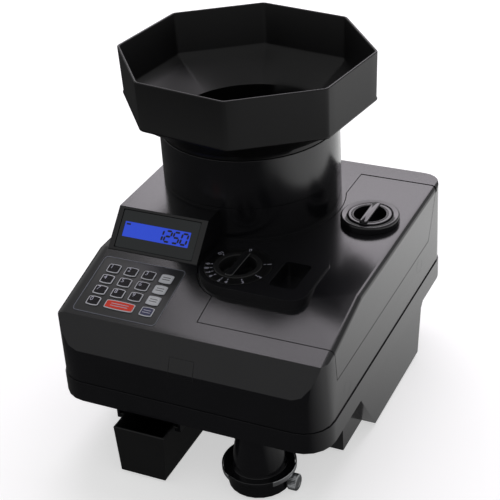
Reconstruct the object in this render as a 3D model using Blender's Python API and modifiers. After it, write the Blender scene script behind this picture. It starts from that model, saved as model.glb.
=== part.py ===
"""A counter-top coin sorting machine: hopper, feed disc, coin path, keypad, display, tray and coin tube.

The machine faces -Y, +X is its right side and +Z is up. Z is zero at the underside of the base plate, X is
zero in the middle of the housing and Y is zero on the axis of the feed disc, the neck and the hopper.
"""

import math

import bmesh
import bpy
from mathutils import Matrix, Vector

MM = 0.001

# General clearances and counts
TOUCH = 0.3 * MM
OVERRUN = 2 * MM
RUNNING = 0.5 * MM
WELD = 0.01 * MM
SIDES = 24
KEY_SIDES = 8
FINE_SIDES = 48
ARC_STEPS = 5

# Housing, measured from the underside of its stand
FOOT_HEIGHT = 3 * MM
HALF_WIDTH = 135 * MM
FRONT_Y = -235 * MM
REAR_Y = 99 * MM
FRONT_CORNER = 28 * MM
REAR_CORNER = 20 * MM
WALL = 3 * MM
LEFT_EDGE_RADIUS = 12 * MM
RIGHT_EDGE_RADIUS = 5 * MM
OVERHANG_HEIGHT = 60 * MM
TOP_HEIGHT = 170.1 * MM
UPPER_HEIGHT = 88.5 * MM
BREAK_Y = -137.5 * MM
FACET_TOP_Y = -222 * MM
SLOPE_DROP = 22.2 * MM
FACET_BOTTOM_DROP = 53.3 * MM
BAND_LIP = 1 * MM

# Stand under the housing
STAND_INSET = 2 * MM
PEDESTAL_HALF_WIDTH = 119 * MM
PEDESTAL_FRONT_Y = -150 * MM
CHEEK_FRONT_TOP_Y = -142 * MM
CHEEK_FRONT_Y = -101 * MM
CHEEK_REAR_Y = 26 * MM
CHEEK_KNEE_Y = 36 * MM
CHEEK_KNEE_DROP = 12 * MM
BOTTOM_PLATE_THICKNESS = 2 * MM
FOOT_RADIUS = 11 * MM
FOOT_INSET = 20 * MM
FOOT_PAD_MARGIN = 2 * MM
FOOT_PAD_HEIGHT = 6 * MM

# Neck, collar and hopper
NECK_X = -31.6 * MM
NECK_RADIUS = 88.2 * MM
COLLAR_HEIGHT = 202.9 * MM
NECK_TOP_HEIGHT = 253.5 * MM
NECK_WALL = 3 * MM
SPIGOT_CLEARANCE = 0.6 * MM
EXIT_SLOT_HEIGHT = 5 * MM
EXIT_SLOT_WIDTH = 34 * MM
HOPPER_WALL_BOTTOM_HEIGHT = 280.6 * MM
HOPPER_RIM_HEIGHT = 328.9 * MM
HOPPER_HALF_WIDTH = 117.5 * MM
HOPPER_HALF_DEPTH = 110.5 * MM
HOPPER_CORNER_X = 48.4 * MM
HOPPER_CORNER_Y = 46.8 * MM
HOPPER_WALL = 2.6 * MM
HOPPER_SPIGOT = 22 * MM
HOPPER_DRAFT = 0.5 * MM
HOPPER_YAW = math.radians(-8.1)

# Display housing on the left of the neck
DISPLAY_LEFT_X = -121 * MM
DISPLAY_RIGHT_X = -26.5 * MM
DISPLAY_TOP_HEIGHT = 200.6 * MM
DISPLAY_TOP_Y = -110 * MM
DISPLAY_FOOT_Y = -140 * MM
DISPLAY_REAR_TOP_Y = 46 * MM
DISPLAY_REAR_FOOT_Y = 74 * MM
WINDOW_LEFT_X = -115.2 * MM
WINDOW_RIGHT_X = -33 * MM
WINDOW_LENGTH = 37.5 * MM
WINDOW_THICKNESS = 2 * MM
WINDOW_SINK = 0.6 * MM
LCD_LEFT_X = -110.7 * MM
LCD_RIGHT_X = -40.6 * MM
LCD_LENGTH = 15 * MM
LCD_RISE = 11 * MM
LCD_FRAME = 4 * MM
LCD_THICKNESS = 4 * MM

# Keypad on the sloping front
PANEL_LEFT_X = -115.2 * MM
PANEL_RIGHT_X = -35.2 * MM
PANEL_START = 13.4 * MM
PANEL_LENGTH = 66 * MM
PANEL_THICKNESS = 1 * MM
PANEL_SINK = 0.4 * MM
PANEL_CORNER = 5 * MM
KEY_COLUMN_X = -102 * MM
KEY_COLUMN_PITCH = 18.55 * MM
KEY_ROW_START = 26.7 * MM
KEY_ROW_PITCH = 13.95 * MM
KEY_WIDTH = 13 * MM
KEY_LENGTH = 11 * MM
START_KEY_WIDTH = 30 * MM
START_KEY_X = -74.6 * MM
KEY_HEIGHT = 1 * MM
KEY_TRAVEL = 0.5 * MM
KEY_STEM = 5 * MM
KEY_STEM_RADIUS = 2 * MM
KEY_CORNER = 1.6 * MM
BOARD_THICKNESS = 1.6 * MM

# Access lid over the coin path
LID_SIDE_DROP = 49.9 * MM
LID_FRONT_Y = -204 * MM
LID_FRONT_LEAN = 6 * MM
LID_REAR_Y = 75 * MM
LID_REAR_LEAN = 24 * MM
LID_REAR_LEFT_X = 55 * MM
LID_NECK_RADIUS = 93 * MM
LID_FRONT_LEFT_X = 4 * MM
LID_GAP = 0.8 * MM
LID_REAR_GAP = 1.8 * MM
HINGE_INSET = 3 * MM
HINGE_DROP = 7.5 * MM
HINGE_CLEARANCE = 0.9 * MM
HINGE_PIN_RADIUS = 1.5 * MM
HINGE_LUG = 4 * MM
HINGE_LUG_WIDTH = 7 * MM
HINGE_SPREAD = 5 * MM

# Raised platform on the lid, with the finger pocket
PLATFORM_RISE = 2 * MM
PLATFORM_CENTRE_X = 14 * MM
PLATFORM_CENTRE_Y = -133 * MM
PLATFORM_RADIUS = 37 * MM
PLATFORM_RIGHT_X = 91 * MM
PLATFORM_FRONT_Y = -170 * MM
PLATFORM_FRONT_CORNER = 15 * MM
PLATFORM_REAR_CORNER = 10 * MM
PLATFORM_WALL = 2.5 * MM
PLATFORM_DEPTH = 14 * MM
SEAM_MARGIN = 2 * MM
POCKET_LEFT_X = 51 * MM
POCKET_RIGHT_X = 77 * MM
POCKET_REAR_Y = -109 * MM
POCKET_FRONT_Y = -152 * MM
POCKET_DEPTH = 16 * MM
POCKET_CORNER = 4 * MM

# Thickness dial and its gauge
DIAL_X = 12.5 * MM
DIAL_Y = -132.3 * MM
SCALE_RADIUS = 31.6 * MM
SCALE_THICKNESS = 1.6 * MM
SCALE_SINK = 0.8 * MM
DIAL_RADIUS = 22.5 * MM
DIAL_CUP_RADIUS = 17.5 * MM
DIAL_CUP_DEPTH = 12 * MM
DIAL_RISE = 2 * MM
GRIP_WIDTH = 8 * MM
WELL_WALL = 2 * MM
WELL_FLOOR = 2.5 * MM
KNOB_FLOOR = 2 * MM
SHAFT_RADIUS = 3.5 * MM
DIAL_SHAFT_BELOW = 15 * MM
GAUGE_PITCH_TRAVEL = 1.2 * MM
GAUGE_NUT_RADIUS = 8 * MM
GAUGE_NUT_HEIGHT = 7 * MM
GAUGE_ARM_WIDTH = 8 * MM
GAUGE_ARM_THICKNESS = 4 * MM
GAUGE_FOOT_Y = -79 * MM
GAUGE_FOOT_WIDTH = 7 * MM

# Size knob and its gate
KNOB_X = 96 * MM
KNOB_Y = -10 * MM
BEZEL_RADIUS = 28.6 * MM
BEZEL_HEIGHT = 8.6 * MM
BEZEL_SINK = 1 * MM
KNOB_RADIUS = 21 * MM
KNOB_CUP_RADIUS = 15.6 * MM
KNOB_CUP_DEPTH = 12 * MM
KNOB_SHAFT_BELOW = 16 * MM
PINION_RADIUS = 4.2 * MM
PINION_HEIGHT = 8 * MM
RACK_LEFT_REACH = 22 * MM
RACK_RIGHT_REACH = 20 * MM
RACK_WIDTH = 5 * MM
RACK_HEIGHT = 6 * MM
RACK_GUIDE_LENGTH = 9 * MM
GATE_LENGTH = 62 * MM
GATE_WIDTH = 14 * MM
GATE_HEIGHT = 5 * MM
GATE_STEM = 9 * MM

# Chassis plate and coin deck
CHASSIS_THICKNESS = 2 * MM
CHASSIS_MARGIN = 1.5 * MM
DECK_DROP = 52.1 * MM
DECK_THICKNESS = 3 * MM
DECK_MARGIN = 6 * MM
POST_RADIUS = 4 * MM
DISC_RADIUS = 78 * MM
DISC_THICKNESS = 3 * MM
DISC_GAP = 0.8 * MM
DISC_HUB_RADIUS = 12 * MM
DISC_HUB_HEIGHT = 4 * MM
DISC_STUD_RADIUS = 4 * MM
DISC_STUD_HEIGHT = 2.5 * MM
DISC_STUDS = 3
DISC_SHAFT_RADIUS = 5 * MM
BEARING_RADIUS = 14 * MM
BEARING_HEIGHT = 8 * MM
PULLEY_RADIUS = 34 * MM
PULLEY_HEIGHT = 10 * MM
BELT_THICKNESS = 2 * MM
BELT_WIDTH = 7 * MM
MOTOR_X = 72 * MM
MOTOR_Y = -18 * MM
MOTOR_RADIUS = 27 * MM
MOTOR_HEIGHT = 46 * MM
MOTOR_SHAFT_RADIUS = 3 * MM
MOTOR_PULLEY_RADIUS = 11 * MM

# Coin path from the disc to the outlet
PATH_X = 62 * MM
COIN_RADIUS = 12.5 * MM
RAIL_WIDTH = 8 * MM
RAIL_HEIGHT = 4 * MM
RAIL_REAR_Y = -64 * MM
RAIL_FRONT_Y = -196 * MM
ROLLER_RADIUS = 8 * MM
ROLLER_WIDTH = 12 * MM
ROLLER_REAR_Y = -98 * MM
ROLLER_FRONT_Y = -178 * MM
ROLLER_PIN_RADIUS = 2 * MM
BRACKET_THICKNESS = 3 * MM
FEED_BELT_THICKNESS = 1.5 * MM
FEED_MOTOR_RADIUS = 11 * MM
FEED_MOTOR_LENGTH = 30 * MM
SENSOR_WIDTH = 10 * MM
SENSOR_LENGTH = 14 * MM
SENSOR_HEIGHT = 12 * MM
SENSOR_Y = -118 * MM

# Reject flap, solenoid and chute
FLAP_REAR_Y = -136 * MM
FLAP_LENGTH = 28 * MM
FLAP_LEFT_X = 50 * MM
FLAP_RIGHT_X = 94 * MM
FLAP_THICKNESS = 2 * MM
FLAP_PIN_RADIUS = 1 * MM
SOLENOID_X = 88 * MM
SOLENOID_REACH = 14 * MM
SOLENOID_RADIUS = 9 * MM
SOLENOID_HEIGHT = 26 * MM
PLUNGER_RADIUS = 2.5 * MM
PLUNGER_DEPTH = 12 * MM
CHUTE_WIDTH = 30 * MM
CHUTE_DEPTH = 8 * MM
CHUTE_WALL = 1.5 * MM
CHUTE_LOW_X = -42 * MM
CHUTE_HOLE_LENGTH = 40 * MM
CHUTE_END_X = -26 * MM
CHUTE_LOW_Y = -178 * MM
CHUTE_TOP_DROP = 24 * MM
CHUTE_END_RISE = 3.5 * MM

# Outlet funnel, coin tube, clamp ring and thumbscrew
OUTLET_Y = -214 * MM
FUNNEL_TOP_RADIUS = 15 * MM
FUNNEL_RADIUS = 13 * MM
FUNNEL_WALL = 1.5 * MM
TUBE_BOTTOM_HEIGHT = 1.5 * MM
TUBE_BOTTOM_RADIUS = 29.4 * MM
TUBE_TOP_RADIUS = 18.5 * MM
TUBE_WALL = 2 * MM
FLANGE_HEIGHT = 17.5 * MM
FLANGE_RADIUS = 33 * MM
FLANGE_THICKNESS = 3 * MM
RING_THICKNESS = 1.2 * MM
RING_BAND = 5 * MM
RING_GAP_START = math.radians(-121)
RING_GAP_END = math.radians(-45)
THUMB_RADIUS = 8 * MM
THUMB_LENGTH = 9 * MM
THUMB_SHANK_RADIUS = 2.5 * MM
THUMB_HEIGHT = 1.5 * MM

# Reject tray and its rails
TRAY_LEFT_X = -68.5 * MM
TRAY_RIGHT_X = -16 * MM
TRAY_FRONT_Y = -249 * MM
TRAY_LENGTH = 92 * MM
TRAY_TOP_HEIGHT = 50 * MM
TRAY_DRAFT = 3 * MM
TRAY_WALL = 2 * MM
TRAY_LIP = 4 * MM
TRAY_LIP_START = 20 * MM
RAIL_WEB = 2.5 * MM

# Power and control parts
TRANSFORMER_X = -72 * MM
TRANSFORMER_Y = -40 * MM
TRANSFORMER_WIDTH = 62 * MM
TRANSFORMER_DEPTH = 52 * MM
TRANSFORMER_HEIGHT = 44 * MM
BOARD_X = -10 * MM
BOARD_Y = -110 * MM
BOARD_WIDTH = 130 * MM
BOARD_DEPTH = 56 * MM
BOARD_PART_HEIGHT = 12 * MM
CHIP_SHARES = (0.2, 0.5, 0.8)
BOARD_STAND_OFF = 5 * MM
INLET_X = 70 * MM
INLET_RISE = 17.4 * MM
INLET_WIDTH = 28 * MM
INLET_TALL = 22 * MM
INLET_DEPTH = 20 * MM
INLET_FLANGE = 4 * MM
INLET_FLANGE_THICKNESS = 2 * MM
SOCKET_DEPTH = 14 * MM
SOCKET_WALL = 3 * MM
SOCKET_PIN = 2 * MM
CONTACT_SHARES = (-1, 0, 1)
ROCKER_X = 104 * MM
ROCKER_WIDTH = 12 * MM
ROCKER_TALL = 18 * MM
ROCKER_DEPTH = 7 * MM
ROCKER_TILT = math.radians(8)
ROCKER_FRAME = 2 * MM

# Levels worked out from the heights above
FLOOR_Z = -FOOT_HEIGHT
STAND_Z = FLOOR_Z + FOOT_HEIGHT
OVERHANG_Z = STAND_Z + OVERHANG_HEIGHT
TOP_Z = STAND_Z + TOP_HEIGHT
SEAM_Z = TOP_Z - UPPER_HEIGHT
FACET_TOP_Z = TOP_Z - SLOPE_DROP
FACET_BOTTOM_Z = TOP_Z - FACET_BOTTOM_DROP
COLLAR_Z = STAND_Z + COLLAR_HEIGHT
NECK_TOP_Z = STAND_Z + NECK_TOP_HEIGHT
HOPPER_WALL_Z = STAND_Z + HOPPER_WALL_BOTTOM_HEIGHT
HOPPER_RIM_Z = STAND_Z + HOPPER_RIM_HEIGHT
DISPLAY_TOP_Z = STAND_Z + DISPLAY_TOP_HEIGHT
LID_SIDE_Z = TOP_Z - LID_SIDE_DROP
PLATFORM_Z = TOP_Z + PLATFORM_RISE
CHASSIS_Z = OVERHANG_Z + WALL + TOUCH
CHASSIS_TOP_Z = CHASSIS_Z + CHASSIS_THICKNESS
DECK_TOP_Z = TOP_Z - DECK_DROP
INLET_Z = SEAM_Z + INLET_RISE
DECK_Z = DECK_TOP_Z - DECK_THICKNESS
BOTTOM_PLATE_TOP_Z = STAND_Z + BOTTOM_PLATE_THICKNESS
BEARING_TOP_Z = CHASSIS_TOP_Z + BEARING_HEIGHT
PULLEY_Z = BEARING_TOP_Z + TOUCH
COIN_TOP_Z = DECK_TOP_Z + RAIL_HEIGHT
ROLLER_Z = COIN_TOP_Z + FEED_BELT_THICKNESS + TOUCH + ROLLER_RADIUS
SLOPE_ANGLE = math.atan2(SLOPE_DROP, BREAK_Y - FACET_TOP_Y)
DISPLAY_ANGLE = math.atan2(DISPLAY_TOP_Z - TOP_Z, DISPLAY_TOP_Y - DISPLAY_FOOT_Y)
DISPLAY_FACE = math.hypot(DISPLAY_TOP_Z - TOP_Z, DISPLAY_TOP_Y - DISPLAY_FOOT_Y)
TUBE_BOTTOM_Z = STAND_Z + TUBE_BOTTOM_HEIGHT
TUBE_TOP_Z = OVERHANG_Z - TOUCH
THUMB_Z = FLOOR_Z + THUMB_HEIGHT + THUMB_RADIUS
FLANGE_Z = STAND_Z + FLANGE_HEIGHT
TRAY_TOP_Z = STAND_Z + TRAY_TOP_HEIGHT
HINGE_Y = LID_REAR_Y - HINGE_INSET
LID_LEFT_X = PLATFORM_CENTRE_X - PLATFORM_RADIUS - SEAM_MARGIN
HINGE_Z = TOP_Z - HINGE_DROP

# Colours as linear values
BLACK_PLASTIC = (0.012, 0.013, 0.016)
DARK_PLASTIC = (0.008, 0.008, 0.009)
GREY_PLASTIC = (0.05, 0.052, 0.057)
STEEL = (0.55, 0.55, 0.56)
CHROME = (0.8, 0.8, 0.82)
RUBBER = (0.015, 0.015, 0.015)
BRASS = (0.7, 0.5, 0.2)
GREEN_BOARD = (0.02, 0.12, 0.05)
COPPER = (0.6, 0.25, 0.1)
BLUE_LCD = (0.03, 0.06, 0.75)
SMOKED = (0.006, 0.007, 0.01)
RED_KEY = (0.75, 0.05, 0.03)
LIGHT_KEY = (0.55, 0.56, 0.6)
BLUE_GREY_KEY = (0.2, 0.23, 0.38)

# Scene and material helpers

for startup_object in list(bpy.data.objects):
    bpy.data.objects.remove(startup_object, do_unlink=True)
PARTS = bpy.data.collections.new("coin_sorting_machine")
bpy.context.scene.collection.children.link(PARTS)


def paint(obj, colour, roughness=0.5, metallic=0.0):
    material = bpy.data.materials.new(obj.name)
    material.use_nodes = True
    shader = material.node_tree.nodes["Principled BSDF"]
    shader.inputs["Base Color"].default_value = (*colour, 1)
    shader.inputs["Roughness"].default_value = roughness
    shader.inputs["Metallic"].default_value = metallic
    obj.data.materials.clear()
    obj.data.materials.append(material)
    obj.data.shade_smooth()
    obj.data.set_sharp_from_angle(angle=math.radians(30))
    return obj


def add_object(name, mesh):
    obj = bpy.data.objects.new(name, mesh)
    PARTS.objects.link(obj)
    return obj


def add_bmesh(name, bm):
    bmesh.ops.recalc_face_normals(bm, faces=bm.faces)
    mesh = bpy.data.meshes.new(name)
    bm.to_mesh(mesh)
    bm.free()
    return add_object(name, mesh)


def drop(obj):
    bpy.data.objects.remove(obj, do_unlink=True)


def settle(obj):
    """Replaces the object's mesh by its evaluated mesh, with modifiers applied."""
    graph = bpy.context.evaluated_depsgraph_get()
    mesh = bpy.data.meshes.new_from_object(obj.evaluated_get(graph))
    obj.modifiers.clear()
    obj.data = mesh
    return obj


def move_origin(obj, point):
    """Puts the object's origin at a world point, with the shape left where it is."""
    offset = Vector(point) - obj.location
    obj.data.transform(Matrix.Translation(-offset))
    obj.location = point
    return obj


# Solid helpers

def box(name, low, high):
    bm = bmesh.new()
    bmesh.ops.create_cube(bm, size=1)
    size = Vector(high) - Vector(low)
    centre = (Vector(high) + Vector(low)) / 2
    bmesh.ops.scale(bm, vec=size, verts=bm.verts)
    bmesh.ops.translate(bm, vec=centre, verts=bm.verts)
    return add_bmesh(name, bm)


def cone(name, start, end, start_radius, end_radius, sides=SIDES):
    """A closed round bar or cone between two points."""
    start = Vector(start)
    end = Vector(end)
    bm = bmesh.new()
    bmesh.ops.create_cone(bm, cap_ends=True, segments=sides, radius1=start_radius, radius2=end_radius,
                          depth=(end - start).length)
    turn = (end - start).to_track_quat("Z", "Y").to_matrix().to_4x4()
    bmesh.ops.transform(bm, matrix=Matrix.Translation((start + end) / 2) @ turn, verts=bm.verts)
    return add_bmesh(name, bm)


def rod(name, start, end, radius, sides=SIDES):
    return cone(name, start, end, radius, radius, sides)


def upright(name, x, y, low, high, radius, sides=SIDES):
    return rod(name, (x, y, low), (x, y, high), radius, sides)


AXIS_TURNS = {"Z": Matrix(((1, 0, 0), (0, 1, 0), (0, 0, 1))), "X": Matrix(((0, 0, 1), (1, 0, 0), (0, 1, 0))),
              "Y": Matrix(((1, 0, 0), (0, 0, 1), (0, 1, 0)))}


def prism(name, outline, low, high, axis="Z"):
    """A flat outline pushed along an axis: XY outlines along Z, YZ outlines along X, XZ outlines along Y."""
    curve = bpy.data.curves.new(name, "CURVE")
    curve.dimensions = "2D"
    curve.fill_mode = "BOTH"
    curve.extrude = (high - low) / 2
    spline = curve.splines.new("POLY")
    spline.points.add(len(outline) - 1)
    for point, (u, v) in zip(spline.points, outline):
        point.co = (u, v, 0, 1)
    spline.use_cyclic_u = True
    guide = add_object(name + "_outline", curve)
    graph = bpy.context.evaluated_depsgraph_get()
    mesh = bpy.data.meshes.new_from_object(guide.evaluated_get(graph))
    drop(guide)
    bm = bmesh.new()
    bm.from_mesh(mesh)
    bmesh.ops.remove_doubles(bm, verts=bm.verts, dist=WELD)
    bmesh.ops.translate(bm, vec=(0, 0, (high + low) / 2), verts=bm.verts)
    bmesh.ops.transform(bm, matrix=AXIS_TURNS[axis].to_4x4(), verts=bm.verts)
    return add_bmesh(name, bm)


def turned(name, profile, x, y, sides=SIDES):
    """A turned shape: the profile lists (radius, height) from the top down its outer side."""
    mesh = bpy.data.meshes.new(name)
    count = len(profile)
    closed = profile[0][0] > 0
    edges = [(i, i + 1) for i in range(count - 1)]
    if closed:
        edges.append((count - 1, 0))
    mesh.from_pydata([(radius, 0, height) for radius, height in profile], edges, [])
    obj = add_object(name, mesh)
    screw = obj.modifiers.new("Turn", "SCREW")
    screw.steps = sides
    screw.render_steps = sides
    screw.use_merge_vertices = True
    screw.merge_threshold = WELD
    settle(obj)
    bm = bmesh.new()
    bm.from_mesh(obj.data)
    bmesh.ops.remove_doubles(bm, verts=bm.verts, dist=WELD)
    bmesh.ops.translate(bm, vec=(x, y, 0), verts=bm.verts)
    drop(obj)
    return add_bmesh(name, bm)


def combine(base, others, operation):
    for other in others:
        other.hide_render = True
        other.display_type = "WIRE"
        step = base.modifiers.new("Combine", "BOOLEAN")
        step.operation = operation
        step.solver = "EXACT"
        step.object = other
        settle(base)
        drop(other)
    return base


def cut(base, *others):
    return combine(base, others, "DIFFERENCE")


def fuse(base, *others):
    return combine(base, others, "UNION")


def common(base, *others):
    return combine(base, others, "INTERSECT")


def rounded(obj, width, segments=2, angle=math.radians(40)):
    step = obj.modifiers.new("Round", "BEVEL")
    step.width = width
    step.segments = segments
    step.limit_method = "ANGLE"
    step.angle_limit = angle
    return settle(obj)


# Outline helpers

def arc(x, y, radius, start, end, steps=ARC_STEPS):
    """Points of an arc, with its angles in degrees and both ends included."""
    angles = [math.radians(start + (end - start) * i / steps) for i in range(steps + 1)]
    return [(x + radius * math.cos(a), y + radius * math.sin(a)) for a in angles]


def rounded_rectangle(left, right, front, rear, radii, steps=ARC_STEPS):
    """Anticlockwise from the front left corner, with the radii of the front left, front right, rear right
    and rear left corners."""
    fl, fr, rr, rl = radii
    return (arc(left + fl, front + fl, fl, 180, 270, steps) + arc(right - fr, front + fr, fr, 270, 360,
                                                                  steps)
            + arc(right - rr, rear - rr, rr, 0, 90, steps) + arc(left + rl, rear - rl, rl, 90, 180, steps))


def inset(outline, distance):
    """Moves each side of an anticlockwise outline inwards by the distance, or outwards if it is negative."""
    count = len(outline)
    moved = []
    for i in range(count):
        before = Vector(outline[i - 1])
        here = Vector(outline[i])
        after = Vector(outline[(i + 1) % count])
        first = (here - before).normalized()
        second = (after - here).normalized()
        normal_a = Vector((-first.y, first.x))
        normal_b = Vector((-second.y, second.x))
        middle = (normal_a + normal_b).normalized()
        moved.append(tuple(here + middle * distance / middle.dot(normal_a)))
    return moved


def housing_outline(grow=0.0):
    outline = rounded_rectangle(-HALF_WIDTH, HALF_WIDTH, FRONT_Y, REAR_Y,
                                (FRONT_CORNER, FRONT_CORNER, REAR_CORNER, REAR_CORNER))
    return inset(outline, -grow)


def housing_profile(bottom):
    """Side view of the upper housing's front facet, carried up past the top: (y, z)."""
    rear = REAR_Y + 2 * WALL
    high = TOP_Z + 4 * OVERRUN
    lean = (FACET_TOP_Y - FRONT_Y) / (FACET_TOP_Z - FACET_BOTTOM_Z)
    front = FRONT_Y - 2 * WALL
    foot = FACET_BOTTOM_Z + (front - FRONT_Y) / lean
    return [(front, bottom), (rear, bottom), (rear, high), (FRONT_Y + lean * (high - FACET_BOTTOM_Z), high),
            (front, foot)]


def cheek_profile(depth):
    """Side view of the stand's cheeks, wide at the top and narrow at the floor, or of their inside."""
    low = STAND_Z - OVERRUN if depth else STAND_Z
    high = OVERHANG_Z + depth + OVERRUN
    lean = (CHEEK_FRONT_TOP_Y - CHEEK_FRONT_Y) / OVERHANG_HEIGHT
    front = CHEEK_FRONT_Y + depth * math.hypot(1, lean)
    knee = CHEEK_KNEE_Y - depth
    step = CHEEK_KNEE_DROP
    return [(front + lean * (low - STAND_Z), low), (CHEEK_REAR_Y - depth, low), (knee, OVERHANG_Z - step),
            (knee + step, OVERHANG_Z), (knee + step, high), (front + lean * (high - STAND_Z), high)]


def lid_plan():
    """The lid seen from above, anticlockwise from its rear right corner."""
    reach = LID_REAR_LEFT_X - NECK_X
    rear_angle = math.degrees(math.acos(reach / LID_NECK_RADIUS))
    front_angle = -math.degrees(math.acos((LID_LEFT_X - NECK_X) / LID_NECK_RADIUS))
    seam_radius = PLATFORM_RADIUS + SEAM_MARGIN
    seam_angle = 180 + math.degrees(math.acos((PLATFORM_CENTRE_X - LID_FRONT_LEFT_X) / seam_radius))
    right = HALF_WIDTH + OVERRUN
    return ([(right, LID_REAR_Y), (LID_REAR_LEFT_X, LID_REAR_Y)]
            + arc(NECK_X, 0, LID_NECK_RADIUS, rear_angle, front_angle, 3 * ARC_STEPS)
            + arc(PLATFORM_CENTRE_X, PLATFORM_CENTRE_Y, seam_radius, 180, seam_angle)
            + [(LID_FRONT_LEFT_X, LID_FRONT_Y), (right, LID_FRONT_Y)])


def lid_side():
    """The lid seen from the right: (y, z), with its leaning front and rear edges carried up past the top."""
    side_drop = TOP_Z - LID_SIDE_Z
    over = OVERRUN + PLATFORM_RISE
    front_step = LID_FRONT_LEAN / side_drop * over
    rear_step = LID_REAR_LEAN / side_drop * over
    return [(LID_FRONT_Y + LID_FRONT_LEAN, LID_SIDE_Z), (LID_REAR_Y - LID_REAR_LEAN, LID_SIDE_Z),
            (LID_REAR_Y + rear_step, TOP_Z + over), (LID_FRONT_Y - front_step, TOP_Z + over)]


def platform_outline(shrink=0.0):
    rear = -LID_NECK_RADIUS - LID_GAP
    left = PLATFORM_CENTRE_X - PLATFORM_RADIUS
    outline = (arc(PLATFORM_CENTRE_X, PLATFORM_CENTRE_Y, PLATFORM_RADIUS, 180, 270, 2 * ARC_STEPS)
               + arc(PLATFORM_RIGHT_X - PLATFORM_FRONT_CORNER, PLATFORM_FRONT_Y + PLATFORM_FRONT_CORNER,
                     PLATFORM_FRONT_CORNER, 270, 360)
               + arc(PLATFORM_RIGHT_X - PLATFORM_REAR_CORNER, rear - PLATFORM_REAR_CORNER,
                     PLATFORM_REAR_CORNER, 0, 90)
               + [(left, rear)])
    return inset(outline, shrink)


# Housings

def crown(name, depth):
    """A long bar with the housing's rounded top edges, wide on the left and tight on the right."""
    half = HALF_WIDTH - depth
    side = HALF_WIDTH + OVERRUN
    left = LEFT_EDGE_RADIUS - depth
    right = RIGHT_EDGE_RADIUS - depth
    outline = ([(-side, -2 * TOP_HEIGHT), (side, -2 * TOP_HEIGHT), (side, -depth - right)]
               + arc(half - right, -depth - right, right, 0, 90, 3) + arc(-half + left, -depth - left, left,
                                                                          90, 180, 4)
               + [(-side, -depth - left)])
    return prism(name, outline, 2 * FRONT_Y, -2 * FRONT_Y, "Y")


def upper_solid(name, depth, bottom):
    """The upper housing's outer form, or its inside where depth is the wall."""
    body = prism(name, inset(housing_outline(), depth), bottom, TOP_Z + 2 * OVERRUN)
    side = prism(name + "_side", inset(housing_profile(bottom - depth), depth), -2 * HALF_WIDTH,
                 2 * HALF_WIDTH, "X")
    top = crown(name + "_top", depth)
    top.data.transform(Matrix.Translation((0, BREAK_Y, TOP_Z)))
    slope = crown(name + "_slope", depth)
    slope.data.transform(Matrix.Translation((0, BREAK_Y, TOP_Z)) @ Matrix.Rotation(SLOPE_ANGLE, 4, "X"))
    return common(body, side, top, slope)


def upper_skin(name):
    shell = upper_solid(name, 0, SEAM_Z)
    return cut(shell, upper_solid(name + "_inside", WALL, SEAM_Z - OVERRUN))


def lid_zone(name, grow):
    plan = prism(name, inset(lid_plan(), -grow), LID_SIDE_Z - grow, TOP_Z + OVERRUN)
    return common(plan, prism(name + "_side", inset(lid_side(), -grow), -HALF_WIDTH, 2 * HALF_WIDTH, "X"))


def display_block(name, depth, bottom):
    profile = [(DISPLAY_FOOT_Y, bottom), (DISPLAY_REAR_FOOT_Y, bottom), (DISPLAY_REAR_FOOT_Y, TOP_Z),
               (DISPLAY_REAR_TOP_Y, DISPLAY_TOP_Z), (DISPLAY_TOP_Y, DISPLAY_TOP_Z), (DISPLAY_FOOT_Y, TOP_Z)]
    return prism(name, inset(profile, depth), DISPLAY_LEFT_X + depth, DISPLAY_RIGHT_X - depth, "X")


def on_slope(obj):
    """Places a piece drawn flat at the slope's top edge: +X right, -Y down the slope, +Z out of it."""
    obj.matrix_world = Matrix.Translation((0, BREAK_Y, TOP_Z)) @ Matrix.Rotation(SLOPE_ANGLE, 4, "X")
    return obj


def on_display(obj):
    """Places a piece drawn flat at the foot of the display's face: +Y up the face, +Z out of it."""
    obj.matrix_world = Matrix.Translation((0, DISPLAY_FOOT_Y, TOP_Z)) @ Matrix.Rotation(DISPLAY_ANGLE, 4,
                                                                                        "X")
    return obj


def window_ends():
    low = (DISPLAY_FACE - WINDOW_LENGTH) / 2
    return low, low + WINDOW_LENGTH


def panel_outline(shrink):
    return inset(rounded_rectangle(PANEL_LEFT_X, PANEL_RIGHT_X, -PANEL_START - PANEL_LENGTH, -PANEL_START,
                                   (PANEL_CORNER,) * 4, 3), shrink)


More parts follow.
